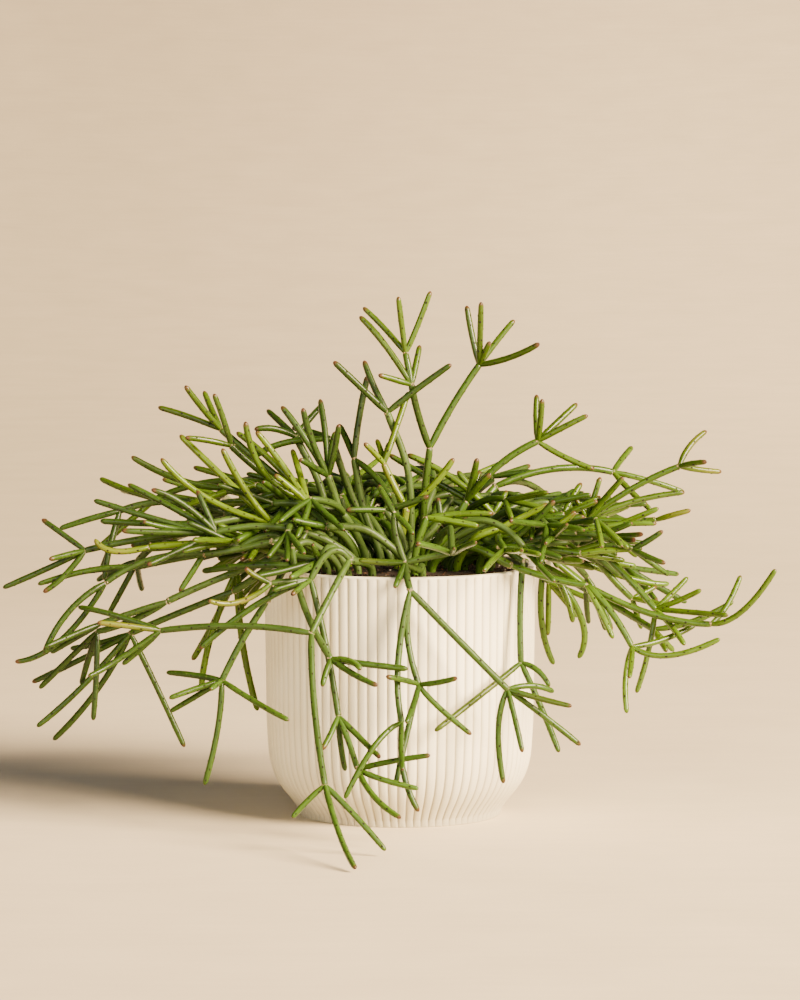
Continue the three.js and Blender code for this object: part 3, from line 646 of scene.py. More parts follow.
addSpray("stem_front_left", "old", -16, -52,
    joint([-28, 142, 67],
        joint([-49.5, 101, 98, -37.5, 125],
            joint([-133.5, 102.5, 74, -90, 105], [-179.5, 117, 62, -160, 111.5], [-169, 107, 84],
                [-174, 77, 92, -160, 84.5], [-155, 83.5, 66]),
            joint([-42, 15.5, 146, -48, 61], [-60.5, -3, 152], [-8, -21.5, 158],
                [-25, -31.5, 211, -34, -12])),
        joint([-50, 130.5, 74, -38.5, 147], [-112, 92.5, 82, -80, 117],
            joint([-72, 129, 84], [-86, 138, 88, -82, 134], [-107, 119.5, 98, -90, 118.5]),
            joint([-34.5, 54.5, 98, -42, 93], [-43.5, 35.5, 112], [-30.5, 23.5, 96],
                [-11.5, 30.5, 118, -20, 40],
                joint([-24.5, 26, 114], [16.5, 33.5, 128], [10.5, 13.5, 122, -9, 18.5],
                    [0.5, -3, 140, -14, 8.5])))))
addSpray("stem_front_hook", "old", -34, -42,
    joint([-60, 149, 60, -52, 152],
        joint([-38, 86.5, 94, -53.5, 118], [-22, 80.5, 108, -28, 85.5], [4.5, 81, 100],
            [-12.5, 71.5, 112], [-43.5, 71, 104])))
addSpray("stem_front_middle", "old", 12, -54,
    joint([3, 140, 72, 10, 136.5],
        joint([-3, 168, 62, -2, 155], [7.5, 156.5, 74], [-12, 184, 54]),
        joint([6, 124.5, 83],
            joint([9.5, 72, 92, 3.5, 100], [-8.5, 76.5, 106], [32, 76, 104], [40, 44, 98, 20, 61],
                [3.5, 50.5, 116], [-1.5, 16, 112, 4.5, 46]),
            joint([1.5, 50.5, 104, 0.5, 84], [-30.5, 7.5, 124, -13, 37], [10.5, 0.5, 118, 0.5, 23],
                [2, 23, 134]),
            joint([60, 69.5, 90, 30, 100], [86, 68, 78, 74, 71.5], [96, 60, 98], [101, 38, 84],
                [68.5, 34, 104], [58, 16.5, 96, 55, 47])),
        [-3, 126.5, 84], [34, 147, 72, 20, 144.5], [-23, 142, 72]))
addSpray("stem_inner_left", "old", -33, 2,
    joint([-40, 189, 14, -33, 166], [-34, 218, 20], [-36, 214, 4], [-54, 227, 24, -49, 209],
        [-66, 228, 6, -54, 212], [-56, 198.5, 28], [-44.5, 232, -6]))
addSpray("stem_inner_middle", "old", -11, 4,
    joint([-25.5, 198.5, -6, -20, 170], [-18, 245, -14, -23, 220], [-34, 218, -18],
        [-5, 177, 8, -14, 189]))
addSpray("stem_inner_shade", "old", -38, 12,
    joint([-58, 211, -18, -44, 182], [-81, 215, -10, -70, 215.5], [-74, 226, -30], [-43, 229, -30]))
addSpray("stem_middle_low", "old", 3, -37,
    joint([-41, 161, 46, -18, 158.5], [-60, 165, 56], [-53, 172, 34]),
    joint([22.5, 164, 26], [21, 177, 22], [38, 165, 32]))
addSpray("stem_left_hanging", "mid", -46, -6,
    joint([-91, 136, -6, -70, 148], [-79.5, 57.5, -14, -88, 96], [-111, 70, -2, -105, 101],
        [-116, 86, -24]))

# Stems that the photo hides: each heads out and up from its root and forks in two, and each fork ends
# in a whorl. Turns and lifts are in degrees, and a pair of values is a range that one is drawn from.
habits = {
    "back": {
        "roots": (16, 52), "spacing": 9, "turn": 0, "lift": 24, "length": (44, 56), "rise": 9,
        # For each fork what is added to the turn, and how much of the spread
        "forks": ((-22, 1), (24, 1)), "forkSpread": (-8, 8),
        "forkLift": (-34, 4), "forkLength": (54, 76), "forkRise": 6, "droopSixths": 0,
        "tipLift": -36, "tipLength": 44, "fan": 90,
    },
    "inner": {
        "roots": (4, 58), "spacing": 5.4, "turn": (-25, 25), "lift": (14, 62), "length": (24, 42), "rise": 3,
        "forks": ((0, -0.5), (0, 0.5)), "forkSpread": (50, 100),
        "forkLift": (-16, 26), "forkLength": (24, 44), "forkRise": 4, "droopSixths": 1,
        "tipLift": -8, "tipLength": 34, "fan": 70,
    },
}
habits["highBack"] = {**habits["back"], "lift": 44, "rise": 2, "forkLift": (-12, 14), "tipLift": -6}
habits["moreBack"] = {
    **habits["back"], "roots": (20, 58), "spacing": 5.4, "lift": (16, 40), "length": (36, 52), "rise": 8,
    "forks": ((0, -1), (0, 1)), "forkSpread": (10, 34), "forkLift": (-44, -2), "forkLength": (40, 58),
    "tipLift": -40, "tipLength": 38,
}
whorl = {"tips": 3, "turnSpread": (-12, 12), "liftSpread": (-34, 30), "lengthShare": (0.7, 1)}


def pick(value):
    return between(*value) if isinstance(value, tuple) else value


def heading(turn, lift):
    around, rise = math.radians(turn), math.radians(lift)
    return np.array([math.cos(around) * math.cos(rise), math.sin(around) * math.cos(rise), math.sin(rise)])


def branchTo(start, turn, lift, length, rise=None):
    at = start + heading(turn, lift) * length
    middle = None if rise is None else (start + at) / 2 + np.array([0, 0, rise])
    return {"at": at, "middle": middle, "grown": []}


def whorlTip(start, turn, habit, share):
    tipTurn = turn + share * habit["fan"] + pick(whorl["turnSpread"])
    tipLift = habit["tipLift"] + pick(whorl["liftSpread"])
    return branchTo(start, tipTurn, tipLift, pick(whorl["lengthShare"]) * habit["tipLength"])


def freeSpot(turn, habit):
    while True:
        spot = heading(turn + between(*plant["rootTurns"]), 0) * pick(habit["roots"])
        spot[1] += plant["rootShift"]
        if all(math.dist(spray["root"], spot[:2]) > habit["spacing"] for spray in sprays):
            return spot[:2]


def addHiddenSpray(name, colour, turn, habit):
    x, y = freeSpot(turn, habit)
    collar = np.array([x, y, float(soilHeight(math.hypot(x, y))) + plant["collarHeight"]])
    lift = pick(habit["lift"])
    first = branchTo(collar, turn + pick(habit["turn"]), lift, pick(habit["length"]), habit["rise"])
    for added, share in habit["forks"]:
        nextTurn = turn + added + share * pick(habit["forkSpread"])
        nextLift = pick(habit["forkLift"]) - lift * habit["droopSixths"] / 6
        following = branchTo(first["at"], nextTurn, nextLift, pick(habit["forkLength"]), habit["forkRise"])
        for i in range(whorl["tips"]):
            share = i / (whorl["tips"] - 1) - 0.5
            following["grown"].append(whorlTip(following["at"], nextTurn, habit, share))
        first["grown"].append(following)
    addSpray(name, colour, x, y, first)


for i, turn in enumerate(plant["backTurns"]):
    colour, habit = ("mid", "highBack") if i % 2 else ("old", "back")
    addHiddenSpray("stem_back_" + "abcdefg"[i], colour, turn, habits[habit])


# The rules from here to settle bend crossing stems clear of one another, of the pot and of the ground
def nearestSpots(a, b, c, d):
    # How far along two straight runs the spots lie where they come nearest
    along, other, apart = b - a, d - c, a - c
    aa, bb, ab = (along ** 2).sum(1), (other ** 2).sum(1), (along * other).sum(1)
    pa, pb = (along * apart).sum(1), (other * apart).sum(1)
    spread = aa * bb - ab * ab
    s = np.clip(np.where(spread > nearZero, (ab * pb - bb * pa) / np.maximum(spread, nearZero), 0), 0, 1)
    t = (ab * s + pb) / bb
    isOut = (t < 0) | (t > 1)
    t = np.clip(t, 0, 1)
    return np.where(isOut, np.clip((ab * t - pa) / aa, 0, 1), s), t


def wayOut(spots, clear):
    # The move that takes spots of a stem out of the pot and the soil
    out = np.hypot(spots[:, 0], spots[:, 1])
    outward = np.column_stack([spots[:, 0] / out, spots[:, 1] / out, np.zeros(len(out))])
    up = np.array([0.0, 0.0, 1.0])
    x, z = out - pot["rimRadius"], spots[:, 2] - pot["rimHeight"]
    isCorner = (z >= 0) & (x > 0)
    distance = np.maximum(np.hypot(x, z), nearZero)
    cornerMove = (outward * x[:, None] + up * z[:, None]) * ((clear - distance) / distance)[:, None]
    cornerMove[distance >= clear] = 0
    top = np.where(out > soil["radius"] - clear, pot["rimHeight"], soilHeight(out))
    rise = top + clear - spots[:, 2]
    wall = [[pot["footRadius"], 0], *pot["belly"], [pot["rimRadius"], pot["rimHeight"]]]
    radii, heights = zip(*wall)
    side = np.interp(spots[:, 2], heights, radii) + clear - out
    move = np.where((rise < side)[:, None], up * rise[:, None], outward * side[:, None])
    move[(rise <= 0) | (side <= 0)] = 0
    return np.where(isCorner[:, None], cornerMove, move)


def settle(passes, leastWeight):
    place = np.array([point["place"] for point in points])
    free = np.array([point["free"] for point in points])
    start, end = (np.array([run[i] for run in runs]) for i in (0, 1))
    radius = np.array([run[2] for run in runs])
    one, two = np.triu_indices(len(runs), 1)
    canMove = free[start] | free[end]
    apart = (start[one] != start[two]) & (end[one] != start[two]) & (start[one] != end[two])
    kept = apart & (canMove[one] | canMove[two])
    one, two = one[kept], two[kept]

    def spotsOn(which, share):
        return place[start[which]] * (1 - share)[:, None] + place[end[which]] * share[:, None]

    def weightOf(which, share):
        return free[start[which]] * (1 - share) ** 2 + free[end[which]] * share ** 2

    def addPush(which, share, move):
        for index, part in ((start[which], 1 - share), (end[which], share)):
            isFree = free[index]
            np.add.at(moved, index[isFree], (move * part[:, None])[isFree])
            np.add.at(pushes, index[isFree], 1)

    every = np.arange(len(runs))
    clear = radius + plant["gap"]
    for step in range(passes):
        if step % plant["listEvery"] == 0:
            middle = (place[start] + place[end]) / 2
            half = np.linalg.norm(place[end] - place[start], axis=1) / 2
            apart = np.linalg.norm(middle[one] - middle[two], axis=1)
            near = apart < half[one] + half[two] + plant["reach"]
            first, second = one[near], two[near]
        moved, pushes = np.zeros_like(place), np.zeros(len(place))

        # Runs that come too near push each other apart
        s, t = nearestSpots(place[start[first]], place[end[first]],
                            place[start[second]], place[end[second]])
        gap = spotsOn(first, s) - spotsOn(second, t)
        distance = np.linalg.norm(gap, axis=1)
        needed = radius[first] + radius[second] + plant["gap"]
        weight = weightOf(first, s) + weightOf(second, t)
        close = (distance < needed) & (weight >= tiny) & (distance >= tiny)
        stretch = (needed - distance) / np.maximum(distance, tiny) / np.maximum(weight, leastWeight)
        move = gap[close] * stretch[close][:, None]
        addPush(first[close], s[close], move)
        addPush(second[close], t[close], -move)

        # Spots along each run are pushed out of the pot and off the ground
        for part in plant["pushSpots"]:
            share = np.full(len(runs), part)
            spots = spotsOn(every, share)
            weight = weightOf(every, share)
            low = radius + plant["floorGap"] - spots[:, 2]
            lift = np.column_stack([0 * low, 0 * low, np.maximum(low, 0)])
            for move in (wayOut(spots, clear), lift):
                pushed = (np.abs(move).sum(1) > 0) & (weight > tiny)
                move = move[pushed] / np.maximum(weight, leastWeight)[pushed][:, None]
                addPush(every[pushed], share[pushed], move)
        place += moved / np.maximum(1, pushes / 2)[:, None]
    for point, at in zip(points, place):
        point["place"] = at


for spray in sprays:
    runs.append((spray["bottom"], spray["collar"], plant["radii"][0]))
settle(plant["passes"], tiny)
for point in points:
    point["free"] = False
cadSprays = len(sprays)
print("the", cadSprays, "seen and back stems are laid out")

# Stems that only thicken the plant: a few that the front shows, the shaded ones inside and more at
# the back
filling = {
    # The step is the golden ratio's fraction, which spreads the stems evenly
    "innerCount": 62, "innerTurns": (-50, 230), "innerStep": 0.618034,
    "innerSectors": ("right", "back_right", "back", "back_left", "left"),
    "backCount": 9, "backTurns": (46, 134), "backSectors": ("right", "middle", "left"),
    "passes": 140, "leastWeight": 0.15,
}


def graft(name, across, up, *branches):
    # Lets more tips grow from a joint that is there already
    spray = next(spray for spray in sprays if spray["name"] == name)
    joints = [segment for segment in spray["segments"] if segment["seen"] == (across, up)]
    for branch in branches:
        grow(spray, joints[0]["chain"][-1], branch, len(plant["radii"]) - 1)


graft("stem_front_left", -50, 130.5, [-71, 125, 86], [-60.5, 122.5, 90])
graft("stem_left_hanging", -91, 136, [-88, 112, 10])
graft("stem_right_hub", 104, 165, [99, 176, 4], [128, 172, -24])
graft("stem_right_long", 99, 158, [143, 162.5, 26, 122, 162])
graft("stem_left_old", -102.5, 157, [-143, 163, 52, -124, 158])

addSpray("stems_more_left", "old", -29, -56,
    joint([-52, 142, 66, -40, 150], [-111, 132.5, 46, -80, 138]))
addSpray("stems_more_left", "old", -52, -14,
    joint([-108, 161, 26, -78, 164], [-167, 164, 22], [-150, 150, 30]))
addSpray("stems_more_left", "bright", -52, -26,
    joint([-110, 153, 36, -80, 157], joint([-140, 149.5, 44], [-170, 154, 48, -160, 148.5])))
addSpray("stems_more_left", "old", -12, 22,
    joint([-38, 210, -16, -28, 178], [-84, 197, -14, -66, 208], [-60, 216, -30]))
addSpray("stems_more_left", "bright", -38, -8,
    joint([-52, 180, 18, -46, 164], [-81, 213.5, 16, -66, 196], [-70, 190, 30], [-60, 204, 4]))
addSpray("stems_more_right", "old", 4, -30,
    joint([-8, 170, 30, 0, 158], [-30, 170, 38], [16, 178, 40]))
addSpray("stems_more_right", "mid", 8, -44,
    joint([15, 164, 44, 10, 152], [52, 168, 40, 34, 166.5], [44, 160, 52]))
addSpray("stems_more_right", "bright", 32, -30,
    joint([55, 160, 36, 44, 154], [100, 163, 34, 78, 161.5], [84, 170, 40]))
addSpray("stems_more_right", "mid", 44, -32,
    joint([56, 150, 44, 50, 148], joint([100, 146, 46, 78, 148], [129, 148, 50], [124, 139, 40])))
addSpray("stems_more_right", "mid", 52, -4,
    joint([90, 169, 6, 70, 160], [110, 176, 12], [112, 168, -4], [101, 186, 0]))

low, high = filling["innerTurns"]
for i in range(filling["innerCount"]):
    turn = low + (high - low) * ((i * filling["innerStep"]) % 1)
    sector = filling["innerSectors"][int((turn - low) / (high - low) * len(filling["innerSectors"]))]
    if sector in ("right", "left") and i % 2:
        continue    # the front shows these sides nearly bare
    addHiddenSpray("inner_stems_" + sector, ("old", "mid", "old")[i % 3], turn, habits["inner"])

low, high = filling["backTurns"]
for i in range(filling["backCount"]):
    turn = low + (high - low) * ((i + 0.5) / filling["backCount"])
    sector = filling["backSectors"][i * len(filling["backSectors"]) // filling["backCount"]]
    addHiddenSpray("back_stems_" + sector, "mid", turn, habits["moreBack"])

for spray in sprays[cadSprays:]:
    runs.append((spray["bottom"], spray["collar"], plant["radii"][0]))
settle(filling["passes"], filling["leastWeight"])
print("with", len(sprays) - cadSprays, "more stems to thicken it")

# Each segment: a slender fleshy rod, thin where it leaves its joint, with tiny dark areoles
# set in a spiral, corky specks at the joints and a rounded tip
stem = {
    "bow": 0.05, "lineSteps": 40, "rootSteps": 16, "steepChord": 0.9,
    "neckShare": 0.62, "neckLength": 6.5, "neckLimit": 0.3, "neckCurve": 0.6, "taperCurve": 1.5,
    "jointShare": 0.4, "baseDepth": 0.2,
    # Where rings stand at the neck, and at which angles of the rounded end
    "neckRings": (0, 0.7, 1.7, 3.0), "firstRing": 4.5, "leastRings": 4,
    "endTurns": (0.3, 0.6, 0.85, 1.08, 1.28, 1.44),
    # The growing tip is drawn out, the end at a joint is blunt: dome in radii, taper in mm
    "tip": {"dome": 1.5, "taper": 12, "thinning": 0.17},
    "end": {"dome": 0.9, "taper": 5, "thinning": 0.12},
    # Share of the radius, and how many mm one radian of the wave takes
    "waves": ((0.018, 8), (0.01, 3.4)), "ribs": 5, "ribShare": 0.016, "ribTwist": 14,
    "front": {"sides": 14, "spacing": 1.9, "areoles": 2.0, "tone": 1},
    # an inner stem's tone is a tenth darker: painted shade inside the plant
    "inner": {"sides": 10, "spacing": 3.0, "areoles": 7.0, "tone": 0.9},
    # Half width, half length and height of an areole, and how the areoles follow one another
    "areole": (0.5, 0.72, 0.12), "areoleSpread": (0.75, 1.15), "firstAreole": 5.0, "lastAreole": 2.2,
    "stepSpread": (0.75, 1.25), "spiral": math.radians(137.5), "spiralSpread": (-0.3, 0.3),
    "corkSpecks": 4, "speckSize": (0.35, 0.7), "speckHeight": 0.35, "speckRows": (4, 8),
    # Painted shade: stems out at the sides and at the top are drawn darker; places across and above the pot,
    # and the tone there
    "paintedSideLight": ((-190, 0.5), (-100, 0.8), (-40, 0.98), (40, 0.98), (120, 0.87), (200, 0.72)),
    "paintedTopShade": ((165, 1.0), (210, 0.66)), "toneSpread": (0.8, 1.2),
    # How old the skin looks for each fork away from the soil, and how much younger a shoot does
    "forkAges": (0.22, 0.08, -0.04, -0.1), "shootAge": (-0.1, -0.18), "shootAgeSpread": (-0.38, 0.12),
    "greens": {
        "old": {"slot": "old_green_stem", "age": 0.72, "wax": 0.1,
                "young": "#3b5715", "grown": "#2b4411", "aged": "#3e5422"},
        "mid": {"slot": "green_stem", "age": 0.42, "wax": 0.22,
                "young": "#4a660f", "grown": "#34500d", "aged": "#395019"},
        "bright": {"slot": "bright_green_stem", "age": 0.12, "wax": 0.16,
                   "young": "#5a7412", "grown": "#435d0f", "aged": "#395316"},
    },
    # How many tips have blushed, by height, and how far down; the inner ones are seldom seen to
    "blushShares": ((130, 0.3), (165, 0.7), (190, 1.0)), "innerBlush": 0.1,
    "blushLength": (5, 11), "tipLength": (1.0, 2.4), "corkLengths": (2.4, 2.2),
    "paleStart": 3, "paleLength": 14, "leastPale": 0.1,
    "tipBlush": "#4f2f22", "tipEnd": "#2e1c15", "paleYellow": "#686e16", "palePink": "#6a4030",
    "fleck": "#62722c", "cork": "#a8987a",
    # Skin patterns, with scale per mm, detail and roughness: streaks 0.9 mm wide and drawn out to 10 mm,
    # flecks of 1.1 mm and clouds of 11 mm. The streaks also stand up a little, in metres.
    "patterns": {"streaks": (1.1, 3.0, 0.6), "flecks": (0.9, 3.0, 0.5), "clouds": (0.09, 2.0, 0.5)},
    "streakStretch": (1, 1, 0.09), "streakDepth": 0.00022, "streakRelief": 0.5,
    "skinShift": 60, "blushFlecks": 0.5, "agedBloom": 0.2,
    # What each pattern does: where it starts and ends, and the share or factor it gives there
    "bands": {
        "grown": ("age", 0.0, 0.5, 0, 1), "aged": ("age", 0.55, 1.0, 0, 1),
        "streak": ("streaks", 0.3, 0.7, 0.74, 1.24), "drift": ("clouds", 0.3, 0.7, 0.88, 1.12),
        "fleck": ("flecks", 0.6, 0.72, 0, 0.35), "pink": ("streaks", 0.54, 0.66, 0, 1),
        "blush": ("uneven", 0.9, 1.16, 0, 0.85), "end": ("tip", 0.93, 0.99, 0, 1),
        "cork": ("creeping", 1.1, 1.4, 0, 0.65), "dull": ("streaks", 0.3, 0.7, 0.2, 0.32),
    },
}


def makeSkinMaterial(colour):
    # Living skin under a thin natural wax: soft long highlights, lengthwise streaks, small paler
    # flecks, and light that gets a little way into the flesh
    green = stem["greens"][colour]
    material, tree, shader = newMaterial("waxy skin, " + colour + " growth")
    skin, growth, signs = (addNode(tree, "Attribute", attribute_name=name)["Vector"]
                           for name in ("skin", "growth", "signs"))
    age, tip, tone = addNode(tree, "SeparateXYZ", {0: growth})
    pale, cork, _ = addNode(tree, "SeparateXYZ", {0: signs})
    stretched = addNode(tree, "VectorMath", {0: skin, 1: stem["streakStretch"]}, operation="MULTIPLY")[0]
    patterns = {"age": age, "tip": tip}
    for name, (scale, detail, rough) in stem["patterns"].items():
        place = stretched if name == "streaks" else skin
        links = {"Vector": place, "Scale": scale, "Detail": detail, "Roughness": rough}
        patterns[name] = addNode(tree, "TexNoise", links)[0]
    flecks = patterns["flecks"]
    patterns["uneven"] = addNode(tree, "Math", {0: flecks, 1: stem["blushFlecks"], 2: tip},
                                 operation="MULTIPLY_ADD")[0]
    patterns["creeping"] = addNode(tree, "Math", {0: flecks, 1: cork}, operation="ADD")[0]
    band = {}
    for name, (pattern, *values) in stem["bands"].items():
        band[name] = addNode(tree, "MapRange", {0: patterns[pattern], **dict(enumerate(values, 1))})[0]

    # Green by age, streaked and cloudy, darkened by the painted shade that the tone carries
    tint = linear(green["young"])
    for stage in ("grown", "aged"):
        tint = addNode(tree, "Mix", {0: band[stage], 6: tint, 7: linear(green[stage])}, data_type="RGBA")[2]
    shade = tone
    for factor in (band["streak"], band["drift"]):
        shade = addNode(tree, "Math", {0: shade, 1: factor}, operation="MULTIPLY")[0]
    tint = addNode(tree, "VectorMath", {0: tint, "Scale": shade}, operation="SCALE")[0]

    # Over it flecks, then on pale growth yellow and streaks of pink, then the blush and the brown
    # of a growing end, and last the cork that creeps over the skin at the joints
    pink = addNode(tree, "Math", {0: band["pink"], 1: pale}, operation="MULTIPLY")[0]
    for share, layer in ((band["fleck"], "fleck"), (pale, "paleYellow"), (pink, "palePink"),
                         (band["blush"], "tipBlush"), (band["end"], "tipEnd"), (band["cork"], "cork")):
        tint = addNode(tree, "Mix", {0: share, 6: tint, 7: linear(stem[layer])}, data_type="RGBA")[2]

    # Young skin is glossy, old skin has a dull grey bloom
    dull = addNode(tree, "Math", {0: age, 1: stem["agedBloom"], 2: band["dull"]},
                   operation="MULTIPLY_ADD")[0]
    relief = addNode(tree, "Bump", {"Height": patterns["streaks"], "Distance": stem["streakDepth"],
                                    "Strength": stem["streakRelief"]})[0]
    fillInputs(shader, {
        "Base Color": tint, "Roughness": dull, "IOR": 1.4, "Specular IOR Level": 0.25,
        "Coat Weight": green["wax"], "Coat Roughness": 0.1, "Coat IOR": 1.45, "Subsurface Weight": 0.08,
        "Subsurface Radius": (0.5, 1.0, 0.15), "Subsurface Scale": 0.0012, "Normal": relief,
    })
    return material


# Cork: scar tissue that grew in flakes of about 1.1 mm, dry, cream to brown, no shine.
# Areoles: cushions of short dark felt, with a hint of olive from the skin below. Its hairs are too
# fine to show, so it is drawn as tufts of about 0.7 mm. Scales are per metre, depths in metres.
trims = {
    "corky scar": {"scale": 900.0, "detail": 3.0, "band": (0.4, 0.65), "colours": ("#6a5638", "#a8987a"),
                   "depth": 0.0003, "relief": 0.7, "dull": 0.85, "shine": 0.25},
    "dark areole felt": {"scale": 1500.0, "detail": 2.0, "band": (0, 1), "colours": ("#0f0c08", "#221f12"),
                         "depth": 0.0003, "relief": 0, "dull": 0.8, "shine": 0.2},
}


def makeTrimMaterial(name, scale, detail, band, colours, depth, relief, dull, shine):
    material, tree, shader = newMaterial(name)
    spot = addNode(tree, "TexCoord")["Object"]
    pattern = addNode(tree, "TexNoise", {"Vector": spot, "Scale": scale, "Detail": detail})[0]
    share = addNode(tree, "MapRange", {0: pattern, 1: band[0], 2: band[1]})[0]
    low, high = map(linear, colours)
    tint = addNode(tree, "Mix", {0: share, 6: low, 7: high}, data_type="RGBA")[2]
    bumps = addNode(tree, "Bump", {"Height": pattern, "Distance": depth, "Strength": relief})[0]
    fillInputs(shader, {"Base Color": tint, "Roughness": dull, "Specular IOR Level": shine,
                        "Normal": bumps})
    return material


skins = {colour: makeSkinMaterial(colour) for colour in stem["greens"]}
trimFinishes = [makeTrimMaterial(name, **values) for name, values in trims.items()]
finishes = {"skin": 0, "cork": 1, "areole": 2}


def unit(vector):
    return vector / np.linalg.norm(vector)


def fadeIn(distances, length):
    return np.clip(distances / length, 0, 1)


def newBody():
    return {"places": [], "faces": [], "finish": [], "skin": [], "growth": [], "signs": [], "count": 0}


def addPart(body, places, faces, finish, skin, growth, signs):
    body["places"].append(places)
    body["faces"] += [tuple(corner + body["count"] for corner in face) for face in faces]
    body["finish"] += [finishes[finish]] * len(faces)
    for name, values in (("skin", skin), ("growth", growth), ("signs", signs)):
        body[name].append(np.broadcast_to(np.asarray(values, dtype=float), places.shape))
    body["count"] += len(places)


# A low closed cushion of two rings and a top, sunk a little into the skin
bump = {"sides": 6, "rings": ((1, -0.35), (0.62, 0.75))}
bumpFaces = ringFaces(bump["sides"], 2, 0, 2 * bump["sides"]) + [tuple(reversed(range(bump["sides"])))]


def addBump(body, centre, outward, along, size, finish):
    width, length, height = size
    sideways = np.cross(along, outward)
    turns = turnsOf(bump["sides"])
    places = []
    for share, rise in bump["rings"]:
        ring = np.outer(np.cos(turns) * length, along) - np.outer(np.sin(turns) * width, sideways)
        places.append(centre + ring * share + outward * height * rise)
    places = np.vstack(places + [centre + outward * height])
    addPart(body, places, bumpFaces, finish, (0, 0, 0), (0, 0, 1), (0, 0, 0))


def segmentLine(segment, spray, fromSoil):
    # Where a rod runs: up out of the soil, or from joint to joint in a bow through its middle
    line = [points[index]["place"] for index in segment["chain"]]
    if fromSoil:
        return smoothLine([points[spray["bottom"]]["place"]] + line, stem["rootSteps"])
    start, end = line[0], line[-1]
    if len(line) == 3:
        middle = line[1]
    else:
        bow = np.array([draw() - 0.5, draw() - 0.5, draw() - 0.5]) * stem["bow"]
        middle = (start + end) / 2 + bow * np.linalg.norm(end - start)
    pull = 2 * middle - (start + end) / 2
    t = np.linspace(0, 1, stem["lineSteps"])[:, None]
    return start * (1 - t) ** 2 + 2 * t * (1 - t) * pull + end * t ** 2


def rodRadius(s, length, radius, end, fromSoil):
    neck = min(stem["neckLength"], length * stem["neckLimit"])
    share = np.ones_like(s)
    if not fromSoil:
        share = stem["neckShare"] + (1 - stem["neckShare"]) * fadeIn(s, neck) ** stem["neckCurve"]
    starts = [between(0, roundTurn) for _ in stem["waves"]]
    waves = zip(stem["waves"], starts)
    share *= 1 + sum(depth * np.sin(s / pitch + start) for (depth, pitch), start in waves)
    share *= 1 - end["thinning"] * fadeIn(s - length + end["taper"], end["taper"]) ** stem["taperCurve"]
    intoDome = fadeIn(s - length + end["dome"] * radius, end["dome"] * radius)
    return radius * share * np.sqrt(1 - intoDome ** 2)


def rodFrame(line, steps, s):
    # At each spot of a rod: where its middle is, which way it runs, and the two ways across it
    centres = np.column_stack([np.interp(s, steps, line[:, i]) for i in range(3)])
    slopes = np.gradient(line, axis=0)
    along = np.column_stack([np.interp(s, steps, slopes[:, i]) for i in range(3)])
    along /= np.linalg.norm(along, axis=1)[:, None]
    chord = unit(line[-1] - line[0])
    flat = np.array([0.0, 0, 1]) if abs(chord[2]) < stem["steepChord"] else np.array([1.0, 0, 0])
    side = np.cross(chord, flat)
    across = side - along * (along @ side)[:, None]
    across /= np.linalg.norm(across, axis=1)[:, None]
    return centres, along, across, np.cross(along, across)


def skinValues(segment, spray, s, line, length, fromSoil, kind):
    # What the skin's material reads: age, tip and tone, then how pale and how corky it is. The tone is a
    # random tone times painted shade, darker at the sides, at the top and inside
    isTip, isInner = segment["isTip"], kind == "inner"
    forks = min(segment["forks"], len(stem["forkAges"]) - 1)
    age = stem["greens"][spray["colour"]]["age"] + stem["forkAges"][forks]
    tone = between(*stem["toneSpread"]) * stem[kind]["tone"]
    middle = (line[0] + line[-1]) / 2
    # painted shade: stems out at the sides and at the top are drawn darker
    tone *= np.interp(middle[0], *zip(*stem["paintedSideLight"])) * np.interp(middle[2], *zip(*stem["paintedTopShade"]))
    if isTip:
        atBase, towardTip = stem["shootAge"]
        age = age + atBase + towardTip * s / length + between(*stem["shootAgeSpread"])
    blushShare = stem["innerBlush"] if isInner else np.interp(line[-1][2], *zip(*stem["blushShares"]))
    isBlushed = between(0, 1) < blushShare or segment["seen"] in brownTips
    blushLength = between(*stem["blushLength" if isBlushed else "tipLength"])
    tip = 1 - fadeIn(length - s, blushLength) if isTip else 0 * s
    growth = np.column_stack([np.clip(age + 0 * s, 0, 1), tip, tone + 0 * s])
    atStart, atEnd = stem["corkLengths"]
    cork = 0 * s if fromSoil else 1 - fadeIn(s, atStart)
    if not isTip:
        cork = np.maximum(cork, 1 - fadeIn(length - s, atEnd))
    pale = np.clip((s - stem["paleStart"]) / stem["paleLength"], stem["leastPale"], 1)
    pale *= paleTips.get(segment["seen"], 0)
    return growth, np.column_stack([pale, cork, 0 * s])


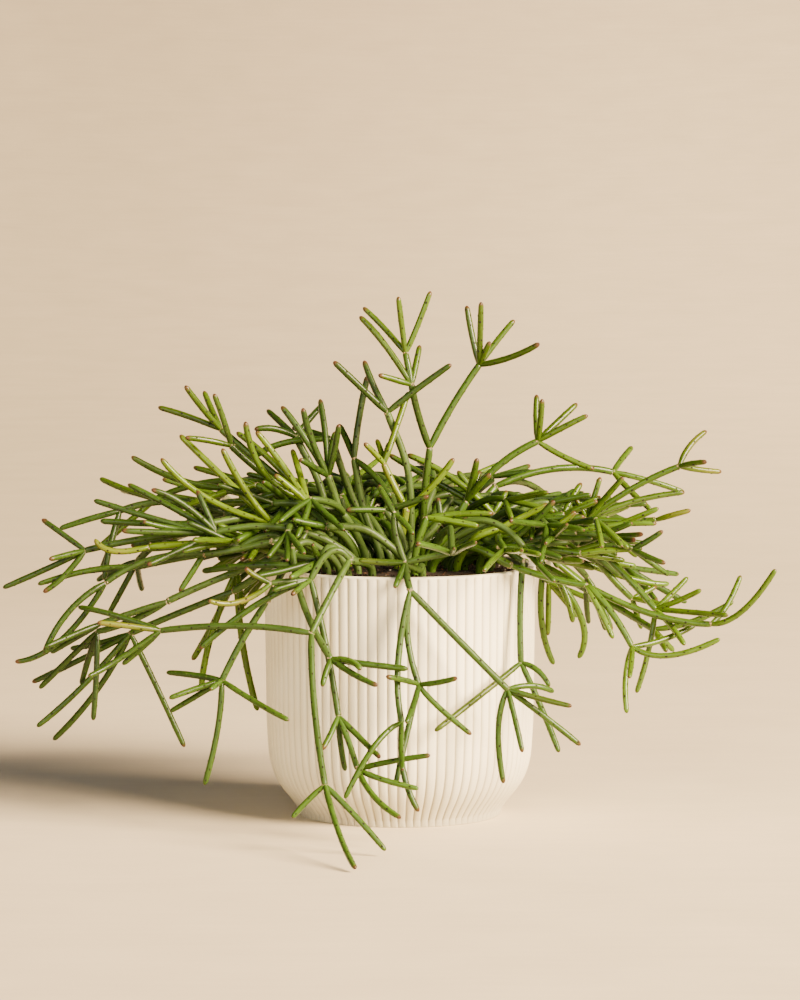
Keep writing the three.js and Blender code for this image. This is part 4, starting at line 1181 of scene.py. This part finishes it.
def addSegment(body, segment, spray, kind):
    isTip, radius = segment["isTip"], segment["radius"]
    end = stem["tip" if isTip else "end"]
    fromSoil = segment["chain"][0] == spray["collar"]
    line = segmentLine(segment, spray, fromSoil)
    if not isTip:
        line = np.vstack([line, line[-1] + unit(line[-1] - line[-2]) * stem["jointShare"] * radius])
    steps = np.concatenate([[0], np.cumsum(np.linalg.norm(np.diff(line, axis=0), axis=1))])
    length, dome = steps[-1], end["dome"] * radius
    count = max(stem["leastRings"], round((length - dome - stem["firstRing"]) / stem[kind]["spacing"]))
    s = np.concatenate([stem["neckRings"], np.linspace(stem["firstRing"], length - dome, count),
                        length - dome * (1 - np.sin(np.array(stem["endTurns"])))])
    centres, along, across, upward = rodFrame(line, steps, s)
    rings, sides = len(s), stem[kind]["sides"]
    turns = turnsOf(sides)
    cosines, sines = np.cos(turns), np.sin(turns)
    ring = rodRadius(s, length, radius, end, fromSoil)
    twist = s[:, None] / stem["ribTwist"] + between(0, roundTurn)
    reach = ring[:, None] * (1 + stem["ribShare"] * np.cos(stem["ribs"] * turns + twist))
    outwards = cosines[:, None] * across[:, None] + sines[:, None] * upward[:, None]
    places = (centres[:, None] + reach[..., None] * outwards).reshape(-1, 3)
    places = np.vstack([places, [line[0] - along[0] * stem["baseDepth"], line[-1]]])
    offset = np.array([draw(), draw(), draw()]) * stem["skinShift"]
    skin = np.stack([ring[:, None] * cosines, ring[:, None] * sines, np.repeat(s[:, None], sides, 1)], -1)
    skin = np.vstack([skin.reshape(-1, 3), [[0, 0, 0], [0, 0, length]]]) + offset
    around = np.concatenate([np.repeat(s, sides), [0, length]])
    growth, signs = skinValues(segment, spray, around, line, length, fromSoil, kind)
    faces = ringFaces(sides, rings, 0, rings * sides + 1, rings * sides)
    addPart(body, places, faces, "skin", skin, growth, signs)

    # Areoles along the rod, then corky specks at its end
    def outwardAt(row, turn):
        return math.cos(turn) * across[row] + math.sin(turn) * upward[row]

    at, turn = stem["firstAreole"], between(0, roundTurn)
    width, long, height = stem["areole"]
    while at < length - stem["lastAreole"]:
        row = int(np.argmin(np.abs(s - at)))
        outward = outwardAt(row, turn)
        centre = centres[row] + along[row] * (at - s[row]) + outward * ring[row]
        size = between(*stem["areoleSpread"])
        addBump(body, centre, outward, along[row], (width * size, long * size, height), "areole")
        at += stem[kind]["areoles"] * between(*stem["stepSpread"])
        turn += stem["spiral"] + between(*stem["spiralSpread"])
    if isTip or kind == "inner":
        return
    for _ in range(stem["corkSpecks"]):
        row = rings - int(between(*stem["speckRows"]))
        outward = outwardAt(row, between(0, roundTurn))
        size = between(*stem["speckSize"])
        centre = centres[row] + outward * ring[row]
        addBump(body, centre, outward, along[row], (size, size, stem["speckHeight"]), "cork")


def makeStems(name, group, isReplacing):
    body = newBody()
    kind = "front" if isReplacing or name.startswith("stems_more") else "inner"
    for spray in group:
        for segment in spray["segments"]:
            addSegment(body, segment, spray, kind)
    piece = makeMesh(name + ("_living" if isReplacing else ""), np.vstack(body["places"]), body["faces"])
    for layer in ("skin", "growth", "signs"):
        addValues(piece, layer, np.vstack(body[layer]))
    colour = group[0]["colour"]
    for finish in [skins[colour]] + trimFinishes:
        piece.data.materials.append(finish)
    piece.data.polygons.foreach_set("material_index", body["finish"])
    if isReplacing:
        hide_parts(name)
    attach(piece, "root")
    return sum(len(face) - 2 for face in body["faces"])


total = 0
for spray in sprays[:cadSprays]:
    total += makeStems(spray["name"], [spray], True)
print("the seen stems have", total, "triangles")
groups = {}
for spray in sprays[cadSprays:]:
    groups.setdefault(spray["name"] + "_" + spray["colour"], []).append(spray)
for name, group in groups.items():
    total += makeStems(name, group, False)
print("all stems have", total, "triangles")

low, high = (list(corner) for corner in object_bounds())
